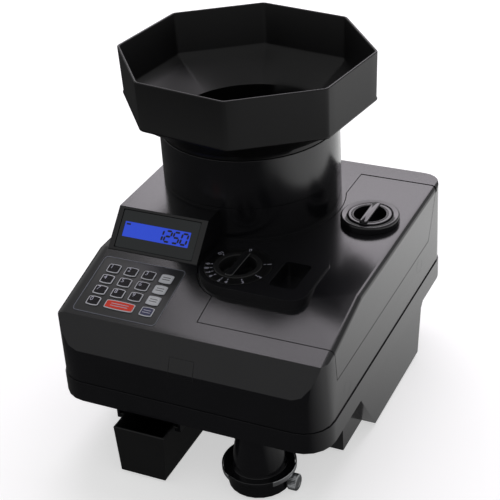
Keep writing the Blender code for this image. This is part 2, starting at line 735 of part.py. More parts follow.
def make_upper_housing():
    housing = upper_skin("upper_housing")
    fuse(housing, display_block("display_outside", 0, TOP_Z - WALL))
    cut(housing, display_block("display_inside", WALL, TOP_Z - 3 * WALL))
    fuse(housing, upright("collar", NECK_X, 0, TOP_Z - WALL, COLLAR_Z, NECK_RADIUS, FINE_SIDES))
    bore = NECK_RADIUS - NECK_WALL
    cut(housing, upright("collar_bore", NECK_X, 0, SEAM_Z, COLLAR_Z + OVERRUN, bore, FINE_SIDES))
    cut(housing, lid_zone("lid_cut", LID_GAP))
    low, high = window_ends()
    recess = box("window_recess",
                 (WINDOW_LEFT_X - TOUCH, low - TOUCH, -WINDOW_SINK - WINDOW_THICKNESS - TOUCH),
                 (WINDOW_RIGHT_X + TOUCH, high + TOUCH, OVERRUN))
    view = box("lcd_opening", (LCD_LEFT_X - LCD_FRAME - TOUCH, LCD_RISE - LCD_FRAME - TOUCH, -3 * WALL),
               (LCD_RIGHT_X + LCD_FRAME + TOUCH, LCD_RISE + LCD_LENGTH + LCD_FRAME + TOUCH, OVERRUN))
    cut(housing, on_display(recess), on_display(view))
    keypad = prism("keypad_recess", panel_outline(-TOUCH), -PANEL_SINK - PANEL_THICKNESS - TOUCH, OVERRUN)
    cut(housing, on_slope(keypad))
    for name, (x, along) in key_places().items():
        hole = upright(name + "_hole", x, -along, -3 * WALL, OVERRUN, KEY_STEM_RADIUS + RUNNING, KEY_SIDES)
        cut(housing, on_slope(hole))
    cut(housing, rear_opening("inlet_opening", INLET_X, INLET_WIDTH, INLET_TALL),
        rear_opening("rocker_opening", ROCKER_X, ROCKER_WIDTH + 2 * RUNNING, ROCKER_TALL + 2 * RUNNING))
    rear = LID_REAR_Y + LID_REAR_GAP
    cut(housing, box("rear_gap", (LID_REAR_LEFT_X - LID_GAP, HINGE_Y, TOP_Z - 2 * WALL),
                     (HALF_WIDTH + OVERRUN, rear, TOP_Z + OVERRUN)))
    for start, end in hinge_lugs("housing"):
        fuse(housing, box("lug", (start, HINGE_Y - HINGE_LUG, HINGE_Z - HINGE_LUG),
                          (end, rear + 2 * WALL, TOP_Z - WALL - HINGE_CLEARANCE)),
             box("lug_back", (start, rear + RUNNING, HINGE_Z), (end, rear + 2 * WALL, TOP_Z - WALL / 2)))
        cut(housing, hinge_hole(start, end))
    return paint(housing, BLACK_PLASTIC, 0.35)


def rear_opening(name, x, width, tall):
    z = INLET_Z
    return box(name, (x - width / 2 - TOUCH, REAR_Y - 2 * WALL, z - tall / 2 - TOUCH),
               (x + width / 2 + TOUCH, REAR_Y + OVERRUN, z + tall / 2 + TOUCH))


def lower_block(name, depth):
    """The lower housing with its stand, or its inside where depth is the wall."""
    top = SEAM_Z - TOUCH if not depth else SEAM_Z + OVERRUN
    floor = STAND_Z if not depth else STAND_Z - OVERRUN
    body = prism(name, inset(housing_outline(BAND_LIP), depth), OVERHANG_Z + depth, top)
    side = HALF_WIDTH - STAND_INSET - depth
    fuse(body, prism(name + "_cheeks", cheek_profile(depth), -side, side, "X"))
    half = PEDESTAL_HALF_WIDTH - depth
    fuse(body, box(name + "_pedestal", (-half, PEDESTAL_FRONT_Y + depth, floor),
                   (half, CHEEK_REAR_Y - 2 * depth, OVERHANG_Z + depth + 2 * OVERRUN)))
    return body


def make_lower_housing():
    housing = lower_block("lower_housing", 0)
    cut(housing, lower_block("lower_inside", WALL))
    reach = WALL + OVERRUN
    low = OVERHANG_Z - OVERRUN
    cut(housing, upright("outlet_hole", PATH_X, OUTLET_Y, low, OVERHANG_Z + reach,
                         FUNNEL_TOP_RADIUS + RUNNING),
        chute_hole("tray_hole", low, OVERHANG_Z + reach))
    for rail in tray_rails():
        fuse(housing, rail)
    for pad in foot_pads(0):
        fuse(housing, pad)
    return paint(housing, BLACK_PLASTIC, 0.35)


def chute_hole(name, low, high):
    half = CHUTE_WIDTH / 2 + CHUTE_WALL
    reach = CHUTE_HOLE_LENGTH / 2
    return box(name, (CHUTE_LOW_X - reach, CHUTE_LOW_Y - half, low),
               (CHUTE_LOW_X + reach, CHUTE_LOW_Y + half, high))


def tray_rails():
    """Moulded ledges under the overhang that hold the reject tray's lips."""
    lip_low = TRAY_TOP_Z - TRAY_WALL
    front = TRAY_FRONT_Y + TRAY_LIP_START
    rear = PEDESTAL_FRONT_Y + OVERRUN
    rails = []
    for side, edge in ((-1, TRAY_LEFT_X), (1, TRAY_RIGHT_X)):
        inner = edge + side * 2 * RUNNING
        lip = edge + side * (TRAY_LIP + RUNNING)
        outer = lip + side * RAIL_WEB
        web = box("rail_web", (min(lip, outer), front, lip_low - RUNNING - RAIL_WEB),
                  (max(lip, outer), rear, OVERHANG_Z + WALL / 2))
        ledge = box("rail_ledge", (min(inner, outer), front, lip_low - RUNNING - RAIL_WEB),
                    (max(inner, outer), rear, lip_low - RUNNING))
        rails.append(fuse(web, ledge))
    return rails


def foot_places():
    """The end and side of the stand where each foot sits, with its centre."""
    edge = WALL + FOOT_INSET
    x = PEDESTAL_HALF_WIDTH - edge
    front = PEDESTAL_FRONT_Y + edge
    rear = CHEEK_REAR_Y - edge
    return [("front", "left", -x, front), ("front", "right", x, front),
            ("rear", "left", -x, rear), ("rear", "right", x, rear)]


def foot_pads(grow):
    """Solid corners of the stand above the feet, each running into two walls. Grow makes room round them."""
    reach = FOOT_RADIUS + FOOT_PAD_MARGIN + grow
    pads = []
    for end, _, x, y in foot_places():
        wide = PEDESTAL_HALF_WIDTH if end == "front" else HALF_WIDTH - STAND_INSET
        xs = sorted((x - math.copysign(reach, x), math.copysign(wide - WALL / 2, x)))
        if end == "front":
            ys = (PEDESTAL_FRONT_Y + WALL / 2, y + reach)
        else:
            ys = (y - reach, CHEEK_REAR_Y - WALL / 2)
        pads.append(box("foot_pad", (xs[0], ys[0], STAND_Z - grow),
                        (xs[1], ys[1], STAND_Z + FOOT_PAD_HEIGHT)))
    return pads


def make_bottom_plate():
    """The steel plate that closes the stand, with its corners cut away round the foot pads."""
    edge = WALL + TOUCH
    rear = CHEEK_REAR_Y - edge - TOUCH
    plate = box("bottom_plate", (-PEDESTAL_HALF_WIDTH + edge, PEDESTAL_FRONT_Y + edge, STAND_Z),
                (PEDESTAL_HALF_WIDTH - edge, rear, BOTTOM_PLATE_TOP_Z))
    side = HALF_WIDTH - STAND_INSET - edge
    fuse(plate, box("plate_wings", (-side, CHEEK_FRONT_Y + 2 * WALL, STAND_Z),
                    (side, rear, BOTTOM_PLATE_TOP_Z)))
    cut(plate, *foot_pads(TOUCH))
    return paint(plate, STEEL, 0.4, 1.0)


def make_rubber_feet():
    for end, side, x, y in foot_places():
        foot = cone("rubber_foot_" + end + "_" + side, (x, y, FLOOR_Z), (x, y, STAND_Z - TOUCH),
                    FOOT_RADIUS - FOOT_HEIGHT / 2, FOOT_RADIUS, SIDES)
        paint(foot, RUBBER, 0.8)


# Lid with its platform

def hinge_ends():
    return LID_REAR_LEFT_X + HINGE_SPREAD, HALF_WIDTH - WALL - HINGE_SPREAD


def hinge_lugs(side):
    """The start and end x of each lug: the lid's lugs lie outside the housing's lugs."""
    left, right = hinge_ends()
    width = HINGE_LUG_WIDTH
    if side == "lid":
        return [(left, left + width), (right - width, right)]
    step = width + RUNNING
    return [(left + step, left + step + width), (right - step - width, right - step)]


def hinge_hole(start, end):
    return rod("hinge_hole", (start - OVERRUN, HINGE_Y, HINGE_Z), (end + OVERRUN, HINGE_Y, HINGE_Z),
               HINGE_PIN_RADIUS + TOUCH, 16)


def well(name, x, y, top, radius, depth):
    return upright(name, x, y, top - depth - WELL_FLOOR, top, radius + WELL_WALL + RUNNING)


def well_bore(name, x, y, top, radius, depth):
    return upright(name, x, y, top - depth, top + OVERRUN, radius + RUNNING)


def dial_depth():
    return DIAL_CUP_DEPTH + KNOB_FLOOR - DIAL_RISE + TOUCH


def knob_depth():
    return KNOB_CUP_DEPTH + KNOB_FLOOR - BEZEL_HEIGHT + BEZEL_SINK + TOUCH


def make_access_lid():
    lid = common(upper_skin("access_lid"), lid_zone("lid_zone", 0))
    fuse(lid, prism("platform", platform_outline(), TOP_Z - PLATFORM_DEPTH, PLATFORM_Z))
    cut(lid, prism("platform_inside", platform_outline(PLATFORM_WALL), SEAM_Z, PLATFORM_Z - PLATFORM_WALL))
    pocket_low = PLATFORM_Z - POCKET_DEPTH
    wall = PLATFORM_WALL
    fuse(lid, box("pocket_outside", (POCKET_LEFT_X - wall, POCKET_FRONT_Y - wall, pocket_low - wall),
                  (POCKET_RIGHT_X + wall, POCKET_REAR_Y + wall, PLATFORM_Z - wall / 2)))
    pocket = rounded_rectangle(POCKET_LEFT_X, POCKET_RIGHT_X, POCKET_FRONT_Y, POCKET_REAR_Y,
                               (POCKET_CORNER,) * 4, 3)
    cut(lid, prism("pocket_inside", pocket, pocket_low, PLATFORM_Z + OVERRUN))
    fuse(lid, well("dial_well", DIAL_X, DIAL_Y, PLATFORM_Z - PLATFORM_WALL / 2, DIAL_RADIUS,
                   dial_depth() - PLATFORM_WALL / 2))
    cut(lid, well_bore("dial_bore", DIAL_X, DIAL_Y, PLATFORM_Z, DIAL_RADIUS, dial_depth()),
        upright("scale_recess", DIAL_X, DIAL_Y, PLATFORM_Z - SCALE_SINK - TOUCH, PLATFORM_Z + OVERRUN,
                SCALE_RADIUS + TOUCH, FINE_SIDES),
        upright("dial_shaft_hole", DIAL_X, DIAL_Y, SEAM_Z, PLATFORM_Z, SHAFT_RADIUS + RUNNING, 24))
    fuse(lid, well("knob_well", KNOB_X, KNOB_Y, TOP_Z - WALL / 2, KNOB_RADIUS, knob_depth() - WALL / 2))
    cut(lid, well_bore("knob_bore", KNOB_X, KNOB_Y, TOP_Z, KNOB_RADIUS, knob_depth()),
        upright("bezel_recess", KNOB_X, KNOB_Y, TOP_Z - BEZEL_SINK - TOUCH, TOP_Z + OVERRUN,
                BEZEL_RADIUS + TOUCH,
                FINE_SIDES),
        upright("knob_shaft_hole", KNOB_X, KNOB_Y, SEAM_Z, TOP_Z, SHAFT_RADIUS + RUNNING, 24))
    fuse(lid, rack_guide())
    for start, end in hinge_lugs("lid"):
        fuse(lid, box("lid_lug", (start, HINGE_Y - HINGE_LUG, HINGE_Z - HINGE_LUG),
                      (end, LID_REAR_Y, TOP_Z - WALL / 2)))
        cut(lid, hinge_hole(start, end))
    return paint(move_origin(lid, (0, HINGE_Y, HINGE_Z)), BLACK_PLASTIC, 0.35)


def make_hinge_rod():
    left, right = hinge_ends()
    pin = rod("lid_hinge_rod", (left, HINGE_Y, HINGE_Z), (right, HINGE_Y, HINGE_Z), HINGE_PIN_RADIUS, 16)
    return paint(pin, STEEL, 0.3, 1.0)


# Dial, knob, gauge and gate

def cup_knob(name, x, y, top, radius, cup_radius, cup_depth, shaft_below):
    """A round knob with a sunk cup, a finger bar across it and a shaft below."""
    floor = top - cup_depth - KNOB_FLOOR
    bottom = floor - WELL_FLOOR - shaft_below
    return turned(name, [(0, top - cup_depth), (cup_radius, top - cup_depth), (cup_radius, top),
                         (radius, top),
                         (radius, floor), (SHAFT_RADIUS, floor), (SHAFT_RADIUS, bottom), (0, bottom)], x, y)


def make_thickness_dial():
    top = PLATFORM_Z + DIAL_RISE
    dial = cup_knob("thickness_dial", DIAL_X, DIAL_Y, top, DIAL_RADIUS, DIAL_CUP_RADIUS, DIAL_CUP_DEPTH,
                    DIAL_SHAFT_BELOW)
    half = GRIP_WIDTH / 2
    reach = DIAL_RADIUS - TOUCH
    fuse(dial, box("grip", (DIAL_X - half, DIAL_Y - reach, top - DIAL_CUP_DEPTH - TOUCH),
                   (DIAL_X + half, DIAL_Y + reach, top + DIAL_RISE)))
    return paint(move_origin(dial, (DIAL_X, DIAL_Y, top)), BLACK_PLASTIC, 0.3)


def make_thickness_scale():
    low = PLATFORM_Z - SCALE_SINK
    inner = DIAL_RADIUS + RUNNING
    scale = turned("thickness_scale", [(inner, low + SCALE_THICKNESS), (SCALE_RADIUS, low + SCALE_THICKNESS),
                                       (SCALE_RADIUS, low), (inner, low)], DIAL_X, DIAL_Y, FINE_SIDES)
    return paint(scale, DARK_PLASTIC, 0.3)


def dial_shaft_bottom():
    return PLATFORM_Z + DIAL_RISE - DIAL_CUP_DEPTH - KNOB_FLOOR - WELL_FLOOR - DIAL_SHAFT_BELOW


def make_thickness_gauge():
    """A nut on the dial's shaft, an arm over the coin path and a foot that sets the gap above the deck."""
    low = dial_shaft_bottom() + GAUGE_PITCH_TRAVEL
    gauge = upright("thickness_gauge", DIAL_X, DIAL_Y, low, low + GAUGE_NUT_HEIGHT, GAUGE_NUT_RADIUS, 24)
    half = GAUGE_ARM_WIDTH / 2
    arm_top = low + GAUGE_ARM_THICKNESS
    fuse(gauge, box("arm_side", (DIAL_X, DIAL_Y - half, low), (PATH_X + half, DIAL_Y + half, arm_top)),
         box("arm_back", (PATH_X - half, DIAL_Y - half, low), (PATH_X + half, GAUGE_FOOT_Y + half, arm_top)),
         box("gauge_foot", (PATH_X - GAUGE_FOOT_WIDTH, GAUGE_FOOT_Y - half, COIN_TOP_Z - RUNNING),
             (PATH_X + GAUGE_FOOT_WIDTH, GAUGE_FOOT_Y + half, arm_top)))
    cut(gauge, upright("gauge_bore", DIAL_X, DIAL_Y, low - OVERRUN, low + GAUGE_NUT_HEIGHT + OVERRUN,
                       SHAFT_RADIUS + TOUCH, 24))
    return paint(move_origin(gauge, (DIAL_X, DIAL_Y, low)), STEEL, 0.4, 1.0)


def make_size_knob():
    top = TOP_Z + BEZEL_HEIGHT - BEZEL_SINK
    knob = cup_knob("size_knob", KNOB_X, KNOB_Y, top, KNOB_RADIUS, KNOB_CUP_RADIUS, KNOB_CUP_DEPTH,
                    KNOB_SHAFT_BELOW)
    half = GRIP_WIDTH / 2
    reach = KNOB_RADIUS - TOUCH
    low = knob_shaft_bottom()
    fuse(knob, box("grip", (KNOB_X - half, KNOB_Y - reach, top - KNOB_CUP_DEPTH - TOUCH),
                   (KNOB_X + half, KNOB_Y + reach, top + DIAL_RISE)),
         upright("pinion", KNOB_X, KNOB_Y, low, low + PINION_HEIGHT, PINION_RADIUS, 24))
    return paint(move_origin(knob, (KNOB_X, KNOB_Y, top)), BLACK_PLASTIC, 0.3)


def knob_shaft_bottom():
    return TOP_Z + BEZEL_HEIGHT - BEZEL_SINK - KNOB_CUP_DEPTH - KNOB_FLOOR - WELL_FLOOR - KNOB_SHAFT_BELOW


def make_size_knob_bezel():
    low = TOP_Z - BEZEL_SINK
    inner = KNOB_RADIUS + RUNNING
    bezel = turned("size_knob_bezel", [(inner, low + BEZEL_HEIGHT), (BEZEL_RADIUS, low + BEZEL_HEIGHT),
                                       (BEZEL_RADIUS, low), (inner, low)], KNOB_X, KNOB_Y, FINE_SIDES)
    return paint(bezel, GREY_PLASTIC, 0.15)


def rack_y():
    """The rack runs behind the pinion, a touch clear of it."""
    return KNOB_Y + PINION_RADIUS + TOUCH


def make_size_gate():
    low = knob_shaft_bottom() + (PINION_HEIGHT - RACK_HEIGHT) / 2
    near = rack_y()
    rack = box("size_gate", (KNOB_X - RACK_LEFT_REACH, near, low),
               (KNOB_X + RACK_RIGHT_REACH, near + RACK_WIDTH, low + RACK_HEIGHT))
    gate_x = PATH_X + COIN_RADIUS
    gate_low = DECK_TOP_Z + RUNNING
    stem_x = gate_x + (GATE_WIDTH - GATE_STEM) / 2
    fuse(rack, box("gate_stem", (stem_x, near, gate_low + RUNNING),
                   (stem_x + GATE_STEM, near + RACK_WIDTH, low + RACK_HEIGHT)),
         box("gate_plate", (gate_x, near - GATE_LENGTH / 2, gate_low),
             (gate_x + GATE_WIDTH, near + GATE_LENGTH / 2,
             gate_low + GATE_HEIGHT)))
    return paint(move_origin(rack, (KNOB_X, near, low)), STEEL, 0.4, 1.0)


def rack_guide():
    """A channel under the lid that the rack slides through, right of the gate's stem."""
    low = knob_shaft_bottom() + (PINION_HEIGHT - RACK_HEIGHT) / 2
    near = rack_y() - RUNNING
    far = rack_y() + RACK_WIDTH + RUNNING
    start = KNOB_X + KNOB_RADIUS / 2 - RACK_GUIDE_LENGTH / 2
    end = start + RACK_GUIDE_LENGTH
    guide = box("rack_guide", (start, near + RUNNING / 2, low - RUNNING - WELL_WALL),
                (end, far + WELL_WALL, TOP_Z - knob_depth() - WELL_FLOOR / 2))
    return cut(guide, box("rack_slot", (start - OVERRUN, near - OVERRUN, low - RUNNING),
                          (end + OVERRUN, far, low + RACK_HEIGHT + RUNNING)))


# Neck and hopper

def make_hopper_neck():
    """The tube between collar and hopper, with a spigot that runs down round the feed disc."""
    spigot = NECK_RADIUS - NECK_WALL - SPIGOT_CLEARANCE
    inner = spigot - NECK_WALL
    bottom = DECK_TOP_Z + TOUCH
    neck = turned("hopper_neck",
                  [(inner, NECK_TOP_Z), (NECK_RADIUS, NECK_TOP_Z), (NECK_RADIUS, COLLAR_Z + TOUCH),
                   (spigot, COLLAR_Z + TOUCH), (spigot, bottom), (inner, bottom)],
                  NECK_X, 0, FINE_SIDES)
    half = EXIT_SLOT_WIDTH / 2
    reach = NECK_X + inner - NECK_RADIUS / 2
    cut(neck, box("coin_exit", (reach, -NECK_RADIUS / 2 - half, bottom - OVERRUN),
                  (NECK_X + NECK_RADIUS + OVERRUN, -NECK_RADIUS / 2 + half, DECK_TOP_Z + EXIT_SLOT_HEIGHT)))
    return paint(neck, BLACK_PLASTIC, 0.35)


def octagon_ring(shrink, z):
    """Points round the hopper's eight-sided outline, evenly spread over each side."""
    a = HOPPER_HALF_WIDTH - shrink
    b = HOPPER_HALF_DEPTH - shrink
    p = HOPPER_CORNER_X - shrink * math.tan(math.radians(22.5))
    q = HOPPER_CORNER_Y - shrink * math.tan(math.radians(22.5))
    corners = [(p, -b), (a, -q), (a, q), (p, b), (-p, b), (-a, q), (-a, -q), (-p, -b)]
    per_side = FINE_SIDES // len(corners)
    ring = []
    for i, (x, y) in enumerate(corners):
        end_x, end_y = corners[(i + 1) % len(corners)]
        for k in range(per_side):
            share = k / per_side
            ring.append((x + (end_x - x) * share, y + (end_y - y) * share, z))
    return ring


def circle_ring(radius, z):
    """Points round a circle, each in the direction of the octagon ring's matching point."""
    return [(radius * x / math.hypot(x, y), radius * y / math.hypot(x, y), z) for x, y,
            _ in octagon_ring(0, z)]


def make_hopper():
    """A funnel lofted between eight-sided and round rings, open at the top and through its spigot."""
    neck_inner = NECK_RADIUS - 2 * NECK_WALL - SPIGOT_CLEARANCE
    spigot = neck_inner - SPIGOT_CLEARANCE
    inner = spigot - HOPPER_WALL
    seat = NECK_TOP_Z + TOUCH
    spigot_low = NECK_TOP_Z - HOPPER_SPIGOT
    rings = [octagon_ring(0, HOPPER_RIM_Z), octagon_ring(HOPPER_DRAFT, HOPPER_WALL_Z),
             circle_ring(NECK_RADIUS - HOPPER_DRAFT, seat), circle_ring(spigot, seat),
             circle_ring(spigot, spigot_low), circle_ring(inner, spigot_low),
             circle_ring(inner, seat + HOPPER_WALL),
             octagon_ring(HOPPER_DRAFT + HOPPER_WALL, HOPPER_WALL_Z + HOPPER_WALL),
             octagon_ring(HOPPER_WALL, HOPPER_RIM_Z)]
    bm = bmesh.new()
    rows = [[bm.verts.new(point) for point in ring] for ring in rings]
    count = len(rows[0])
    for i, row in enumerate(rows):
        below = rows[(i + 1) % len(rows)]
        for k in range(count):
            bm.faces.new((row[k], row[(k + 1) % count], below[(k + 1) % count], below[k]))
    bmesh.ops.rotate(bm, verts=bm.verts, matrix=Matrix.Rotation(HOPPER_YAW, 3, "Z"))
    bmesh.ops.translate(bm, verts=bm.verts, vec=(NECK_X, 0, 0))
    return paint(move_origin(add_bmesh("hopper", bm), (NECK_X, 0, NECK_TOP_Z)), BLACK_PLASTIC, 0.35)


# Display and keypad

def make_display_window():
    low, high = window_ends()
    top = -WINDOW_SINK
    window = box("display_window", (WINDOW_LEFT_X, low, top - WINDOW_THICKNESS), (WINDOW_RIGHT_X, high, top))
    return paint(on_display(window), SMOKED, 0.08)


def make_lcd_module():
    top = -WINDOW_SINK - WINDOW_THICKNESS - TOUCH
    module = box("lcd_module", (LCD_LEFT_X - LCD_FRAME, LCD_RISE - LCD_FRAME, top - LCD_THICKNESS),
                 (LCD_RIGHT_X + LCD_FRAME, LCD_RISE + LCD_LENGTH + LCD_FRAME, top))
    return paint(on_display(module), BLUE_LCD, 0.2)


def make_keypad_panel():
    top = -PANEL_SINK
    panel = prism("keypad_panel", panel_outline(0), top - PANEL_THICKNESS, top)
    for name, (x, along) in key_places().items():
        hole = upright(name + "_hole", x, -along, top - PANEL_THICKNESS - OVERRUN, OVERRUN,
                       KEY_STEM_RADIUS + RUNNING, KEY_SIDES)
        cut(panel, hole)
    return paint(on_slope(panel), DARK_PLASTIC, 0.4)


def key_places():
    """Name of each key, with its x and its distance down the slope."""
    columns = [KEY_COLUMN_X + i * KEY_COLUMN_PITCH for i in range(4)]
    rows = [KEY_ROW_START + i * KEY_ROW_PITCH for i in range(4)]
    places = {}
    for i in range(9):
        places["key_" + str(i + 1)] = (columns[i % 3], rows[i // 3])
    places["key_0"] = (columns[0], rows[3])
    places["key_start"] = (START_KEY_X, rows[3])
    for i in range(4):
        places["key_function_" + str(i + 1)] = (columns[3], rows[i])
    return places


def key_colour(name):
    if name == "key_start":
        return RED_KEY
    if name == "key_function_4":
        return BLUE_GREY_KEY
    if "function" in name:
        return LIGHT_KEY
    return DARK_PLASTIC


def make_key(name, x, along):
    """A raised cap above the panel, with a stem through the housing that ends over the keypad's board."""
    width = START_KEY_WIDTH if name == "key_start" else KEY_WIDTH
    low = -PANEL_SINK + KEY_TRAVEL + TOUCH
    cap = prism(name, rounded_rectangle(-width / 2, width / 2, -KEY_LENGTH / 2, KEY_LENGTH / 2,
                                        (KEY_CORNER,) * 4, 2),
                low, low + KEY_HEIGHT)
    fuse(cap, upright("stem", 0, 0, low + KEY_HEIGHT / 2 - KEY_STEM, low + KEY_HEIGHT / 2, KEY_STEM_RADIUS,
                      KEY_SIDES))
    cap.matrix_world = (Matrix.Translation((0, BREAK_Y, TOP_Z)) @ Matrix.Rotation(SLOPE_ANGLE, 4, "X")
                        @ Matrix.Translation((x, -along, 0)))
    return paint(cap, key_colour(name), 0.4)


# Chassis, deck and drive

def make_chassis_plate():
    plate = prism("chassis_plate", inset(housing_outline(BAND_LIP), WALL + CHASSIS_MARGIN), CHASSIS_Z,
                  CHASSIS_TOP_Z)
    low = CHASSIS_Z - OVERRUN
    high = CHASSIS_TOP_Z + OVERRUN
    fuse(plate, upright("bearing_boss", NECK_X, 0, CHASSIS_Z + CHASSIS_THICKNESS / 2, BEARING_TOP_Z,
                        BEARING_RADIUS))
    cut(plate, upright("outlet_hole", PATH_X, OUTLET_Y, low, high, FUNNEL_TOP_RADIUS + RUNNING),
        chute_hole("tray_hole", low, high),
        upright("shaft_hole", NECK_X, 0, low, BEARING_TOP_Z + OVERRUN, DISC_SHAFT_RADIUS + TOUCH),
        upright("motor_hole", MOTOR_X, MOTOR_Y, low, high, MOTOR_SHAFT_RADIUS + 2 * RUNNING))
    return paint(plate, STEEL, 0.4, 1.0)


def post_places():
    side = HALF_WIDTH - WALL - DECK_MARGIN - 3 * POST_RADIUS
    front = LID_FRONT_Y + 2 * POST_RADIUS
    rear = REAR_Y - WALL - DECK_MARGIN - REAR_CORNER
    middle = (front + rear) / 2
    return [(x, y) for x in (-side, side) for y in (front, middle, rear)]


def make_coin_deck():
    """The deck on its six posts, with openings for the disc, the reject flap and the chute."""
    outline = rounded_rectangle(-HALF_WIDTH + WALL + DECK_MARGIN, HALF_WIDTH - WALL - DECK_MARGIN,
                                OUTLET_Y + FUNNEL_RADIUS, REAR_Y - WALL - DECK_MARGIN,
                                (DECK_MARGIN, DECK_MARGIN, REAR_CORNER, REAR_CORNER))
    deck = prism("coin_deck", outline, DECK_Z, DECK_TOP_Z)
    cut(deck, upright("disc_opening", NECK_X, 0, DECK_Z - OVERRUN, DECK_TOP_Z + OVERRUN,
                      DISC_RADIUS + DISC_GAP,
                      FINE_SIDES),
        box("flap_opening", (FLAP_LEFT_X - RUNNING, FLAP_REAR_Y - FLAP_LENGTH - 2 * RUNNING,
                             DECK_Z - OVERRUN),
            (FLAP_RIGHT_X + RUNNING, FLAP_REAR_Y + 2 * RUNNING + FLAP_PIN_RADIUS, DECK_TOP_Z + OVERRUN)))
    for x, y in post_places():
        fuse(deck, upright("post", x, y, CHASSIS_TOP_Z + TOUCH, DECK_Z + DECK_THICKNESS / 2, POST_RADIUS,
                           16))
    for x in (FLAP_LEFT_X - RUNNING, FLAP_RIGHT_X + RUNNING):
        cut(deck, rod("flap_pin_hole", (x - 3 * FLAP_PIN_RADIUS, FLAP_REAR_Y, flap_axis_z()),
                      (x + 3 * FLAP_PIN_RADIUS, FLAP_REAR_Y, flap_axis_z()), FLAP_PIN_RADIUS + TOUCH, 12))
    return paint(deck, STEEL, 0.3, 1.0)


def flap_axis_z():
    return DECK_TOP_Z - DECK_THICKNESS / 2


def make_coin_disc():
    """The feed disc, with a centre hub and studs that stir the coins."""
    top = DECK_TOP_Z
    disc = upright("coin_disc", NECK_X, 0, top - DISC_THICKNESS, top, DISC_RADIUS, FINE_SIDES)
    fuse(disc, cone("hub", (NECK_X, 0, top - DISC_THICKNESS / 2), (NECK_X, 0, top + DISC_HUB_HEIGHT),
                    DISC_HUB_RADIUS,
                    DISC_HUB_RADIUS / 2))
    orbit = DISC_RADIUS * 2 / 3
    for i in range(DISC_STUDS):
        angle = 2 * math.pi * i / DISC_STUDS
        x = NECK_X + orbit * math.cos(angle)
        y = orbit * math.sin(angle)
        fuse(disc, upright("stud", x, y, top - DISC_THICKNESS / 2, top + DISC_STUD_HEIGHT, DISC_STUD_RADIUS,
                           12))
    return paint(move_origin(disc, (NECK_X, 0, top)), GREY_PLASTIC, 0.4)


def make_disc_shaft():
    """The disc's shaft with its drive pulley, from the bearing up to the disc."""
    top = DECK_TOP_Z - DISC_THICKNESS - TOUCH
    middle = PULLEY_Z + PULLEY_HEIGHT / 2
    groove = BELT_WIDTH / 2 + RUNNING
    shaft = turned("disc_shaft", [
        (0, top), (DISC_HUB_RADIUS, top), (DISC_HUB_RADIUS, top - DISC_THICKNESS),
        (DISC_SHAFT_RADIUS, top - DISC_THICKNESS), (DISC_SHAFT_RADIUS, PULLEY_Z + PULLEY_HEIGHT),
        (PULLEY_RADIUS, PULLEY_Z + PULLEY_HEIGHT), (PULLEY_RADIUS, middle + groove),
        (PULLEY_RADIUS - BELT_THICKNESS, middle + groove), (PULLEY_RADIUS - BELT_THICKNESS, middle - groove),
        (PULLEY_RADIUS, middle - groove), (PULLEY_RADIUS, PULLEY_Z), (DISC_SHAFT_RADIUS, PULLEY_Z),
        (DISC_SHAFT_RADIUS, CHASSIS_Z), (0, CHASSIS_Z)], NECK_X, 0)
    return paint(move_origin(shaft, (NECK_X, 0, PULLEY_Z)), STEEL, 0.3, 1.0)


def belt_loop(shrink):
    """The drive belt seen from above: two arcs joined by the straight runs between the pulleys."""
    big = PULLEY_RADIUS - BELT_THICKNESS + TOUCH + shrink
    small = MOTOR_PULLEY_RADIUS - BELT_THICKNESS + TOUCH + shrink
    along = math.atan2(MOTOR_Y, MOTOR_X - NECK_X)
    distance = math.hypot(MOTOR_X - NECK_X, MOTOR_Y)
    spread = math.acos((big - small) / distance)
    start = math.degrees(along + spread)
    end = math.degrees(along - spread)
    return (arc(NECK_X, 0, big, start, end + 360, 24) + arc(MOTOR_X, MOTOR_Y, small, end, start, 12))


def make_drive_belt():
    middle = PULLEY_Z + PULLEY_HEIGHT / 2
    belt = prism("drive_belt", belt_loop(BELT_THICKNESS), middle - BELT_WIDTH / 2, middle + BELT_WIDTH / 2)
    cut(belt, prism("belt_inside", belt_loop(0), middle - BELT_WIDTH, middle + BELT_WIDTH))
    return paint(belt, RUBBER, 0.7)


def make_drive_motor():
    top = CHASSIS_Z - TOUCH
    motor = upright("drive_motor", MOTOR_X, MOTOR_Y, top - MOTOR_HEIGHT, top, MOTOR_RADIUS)
    cut(motor, upright("shaft_bore", MOTOR_X, MOTOR_Y, top - MOTOR_HEIGHT / 2, top + OVERRUN,
                       MOTOR_SHAFT_RADIUS + TOUCH, 16))
    return paint(motor, STEEL, 0.4, 1.0)


def make_motor_pulley():
    middle = PULLEY_Z + PULLEY_HEIGHT / 2
    groove = BELT_WIDTH / 2 + RUNNING
    low = CHASSIS_Z - TOUCH - MOTOR_HEIGHT / 2 + TOUCH
    inner = MOTOR_PULLEY_RADIUS - BELT_THICKNESS
    pulley = turned("motor_pulley", [
        (0, PULLEY_Z + PULLEY_HEIGHT), (MOTOR_PULLEY_RADIUS, PULLEY_Z + PULLEY_HEIGHT),
        (MOTOR_PULLEY_RADIUS, middle + groove), (inner, middle + groove), (inner, middle - groove),
        (MOTOR_PULLEY_RADIUS, middle - groove), (MOTOR_PULLEY_RADIUS, PULLEY_Z),
        (MOTOR_SHAFT_RADIUS, PULLEY_Z),
        (MOTOR_SHAFT_RADIUS, low), (0, low)], MOTOR_X, MOTOR_Y, 24)
    return paint(move_origin(pulley, (MOTOR_X, MOTOR_Y, PULLEY_Z)), BRASS, 0.3, 1.0)


# Coin path

def bracket_x():
    return PATH_X - ROLLER_WIDTH / 2 - RUNNING


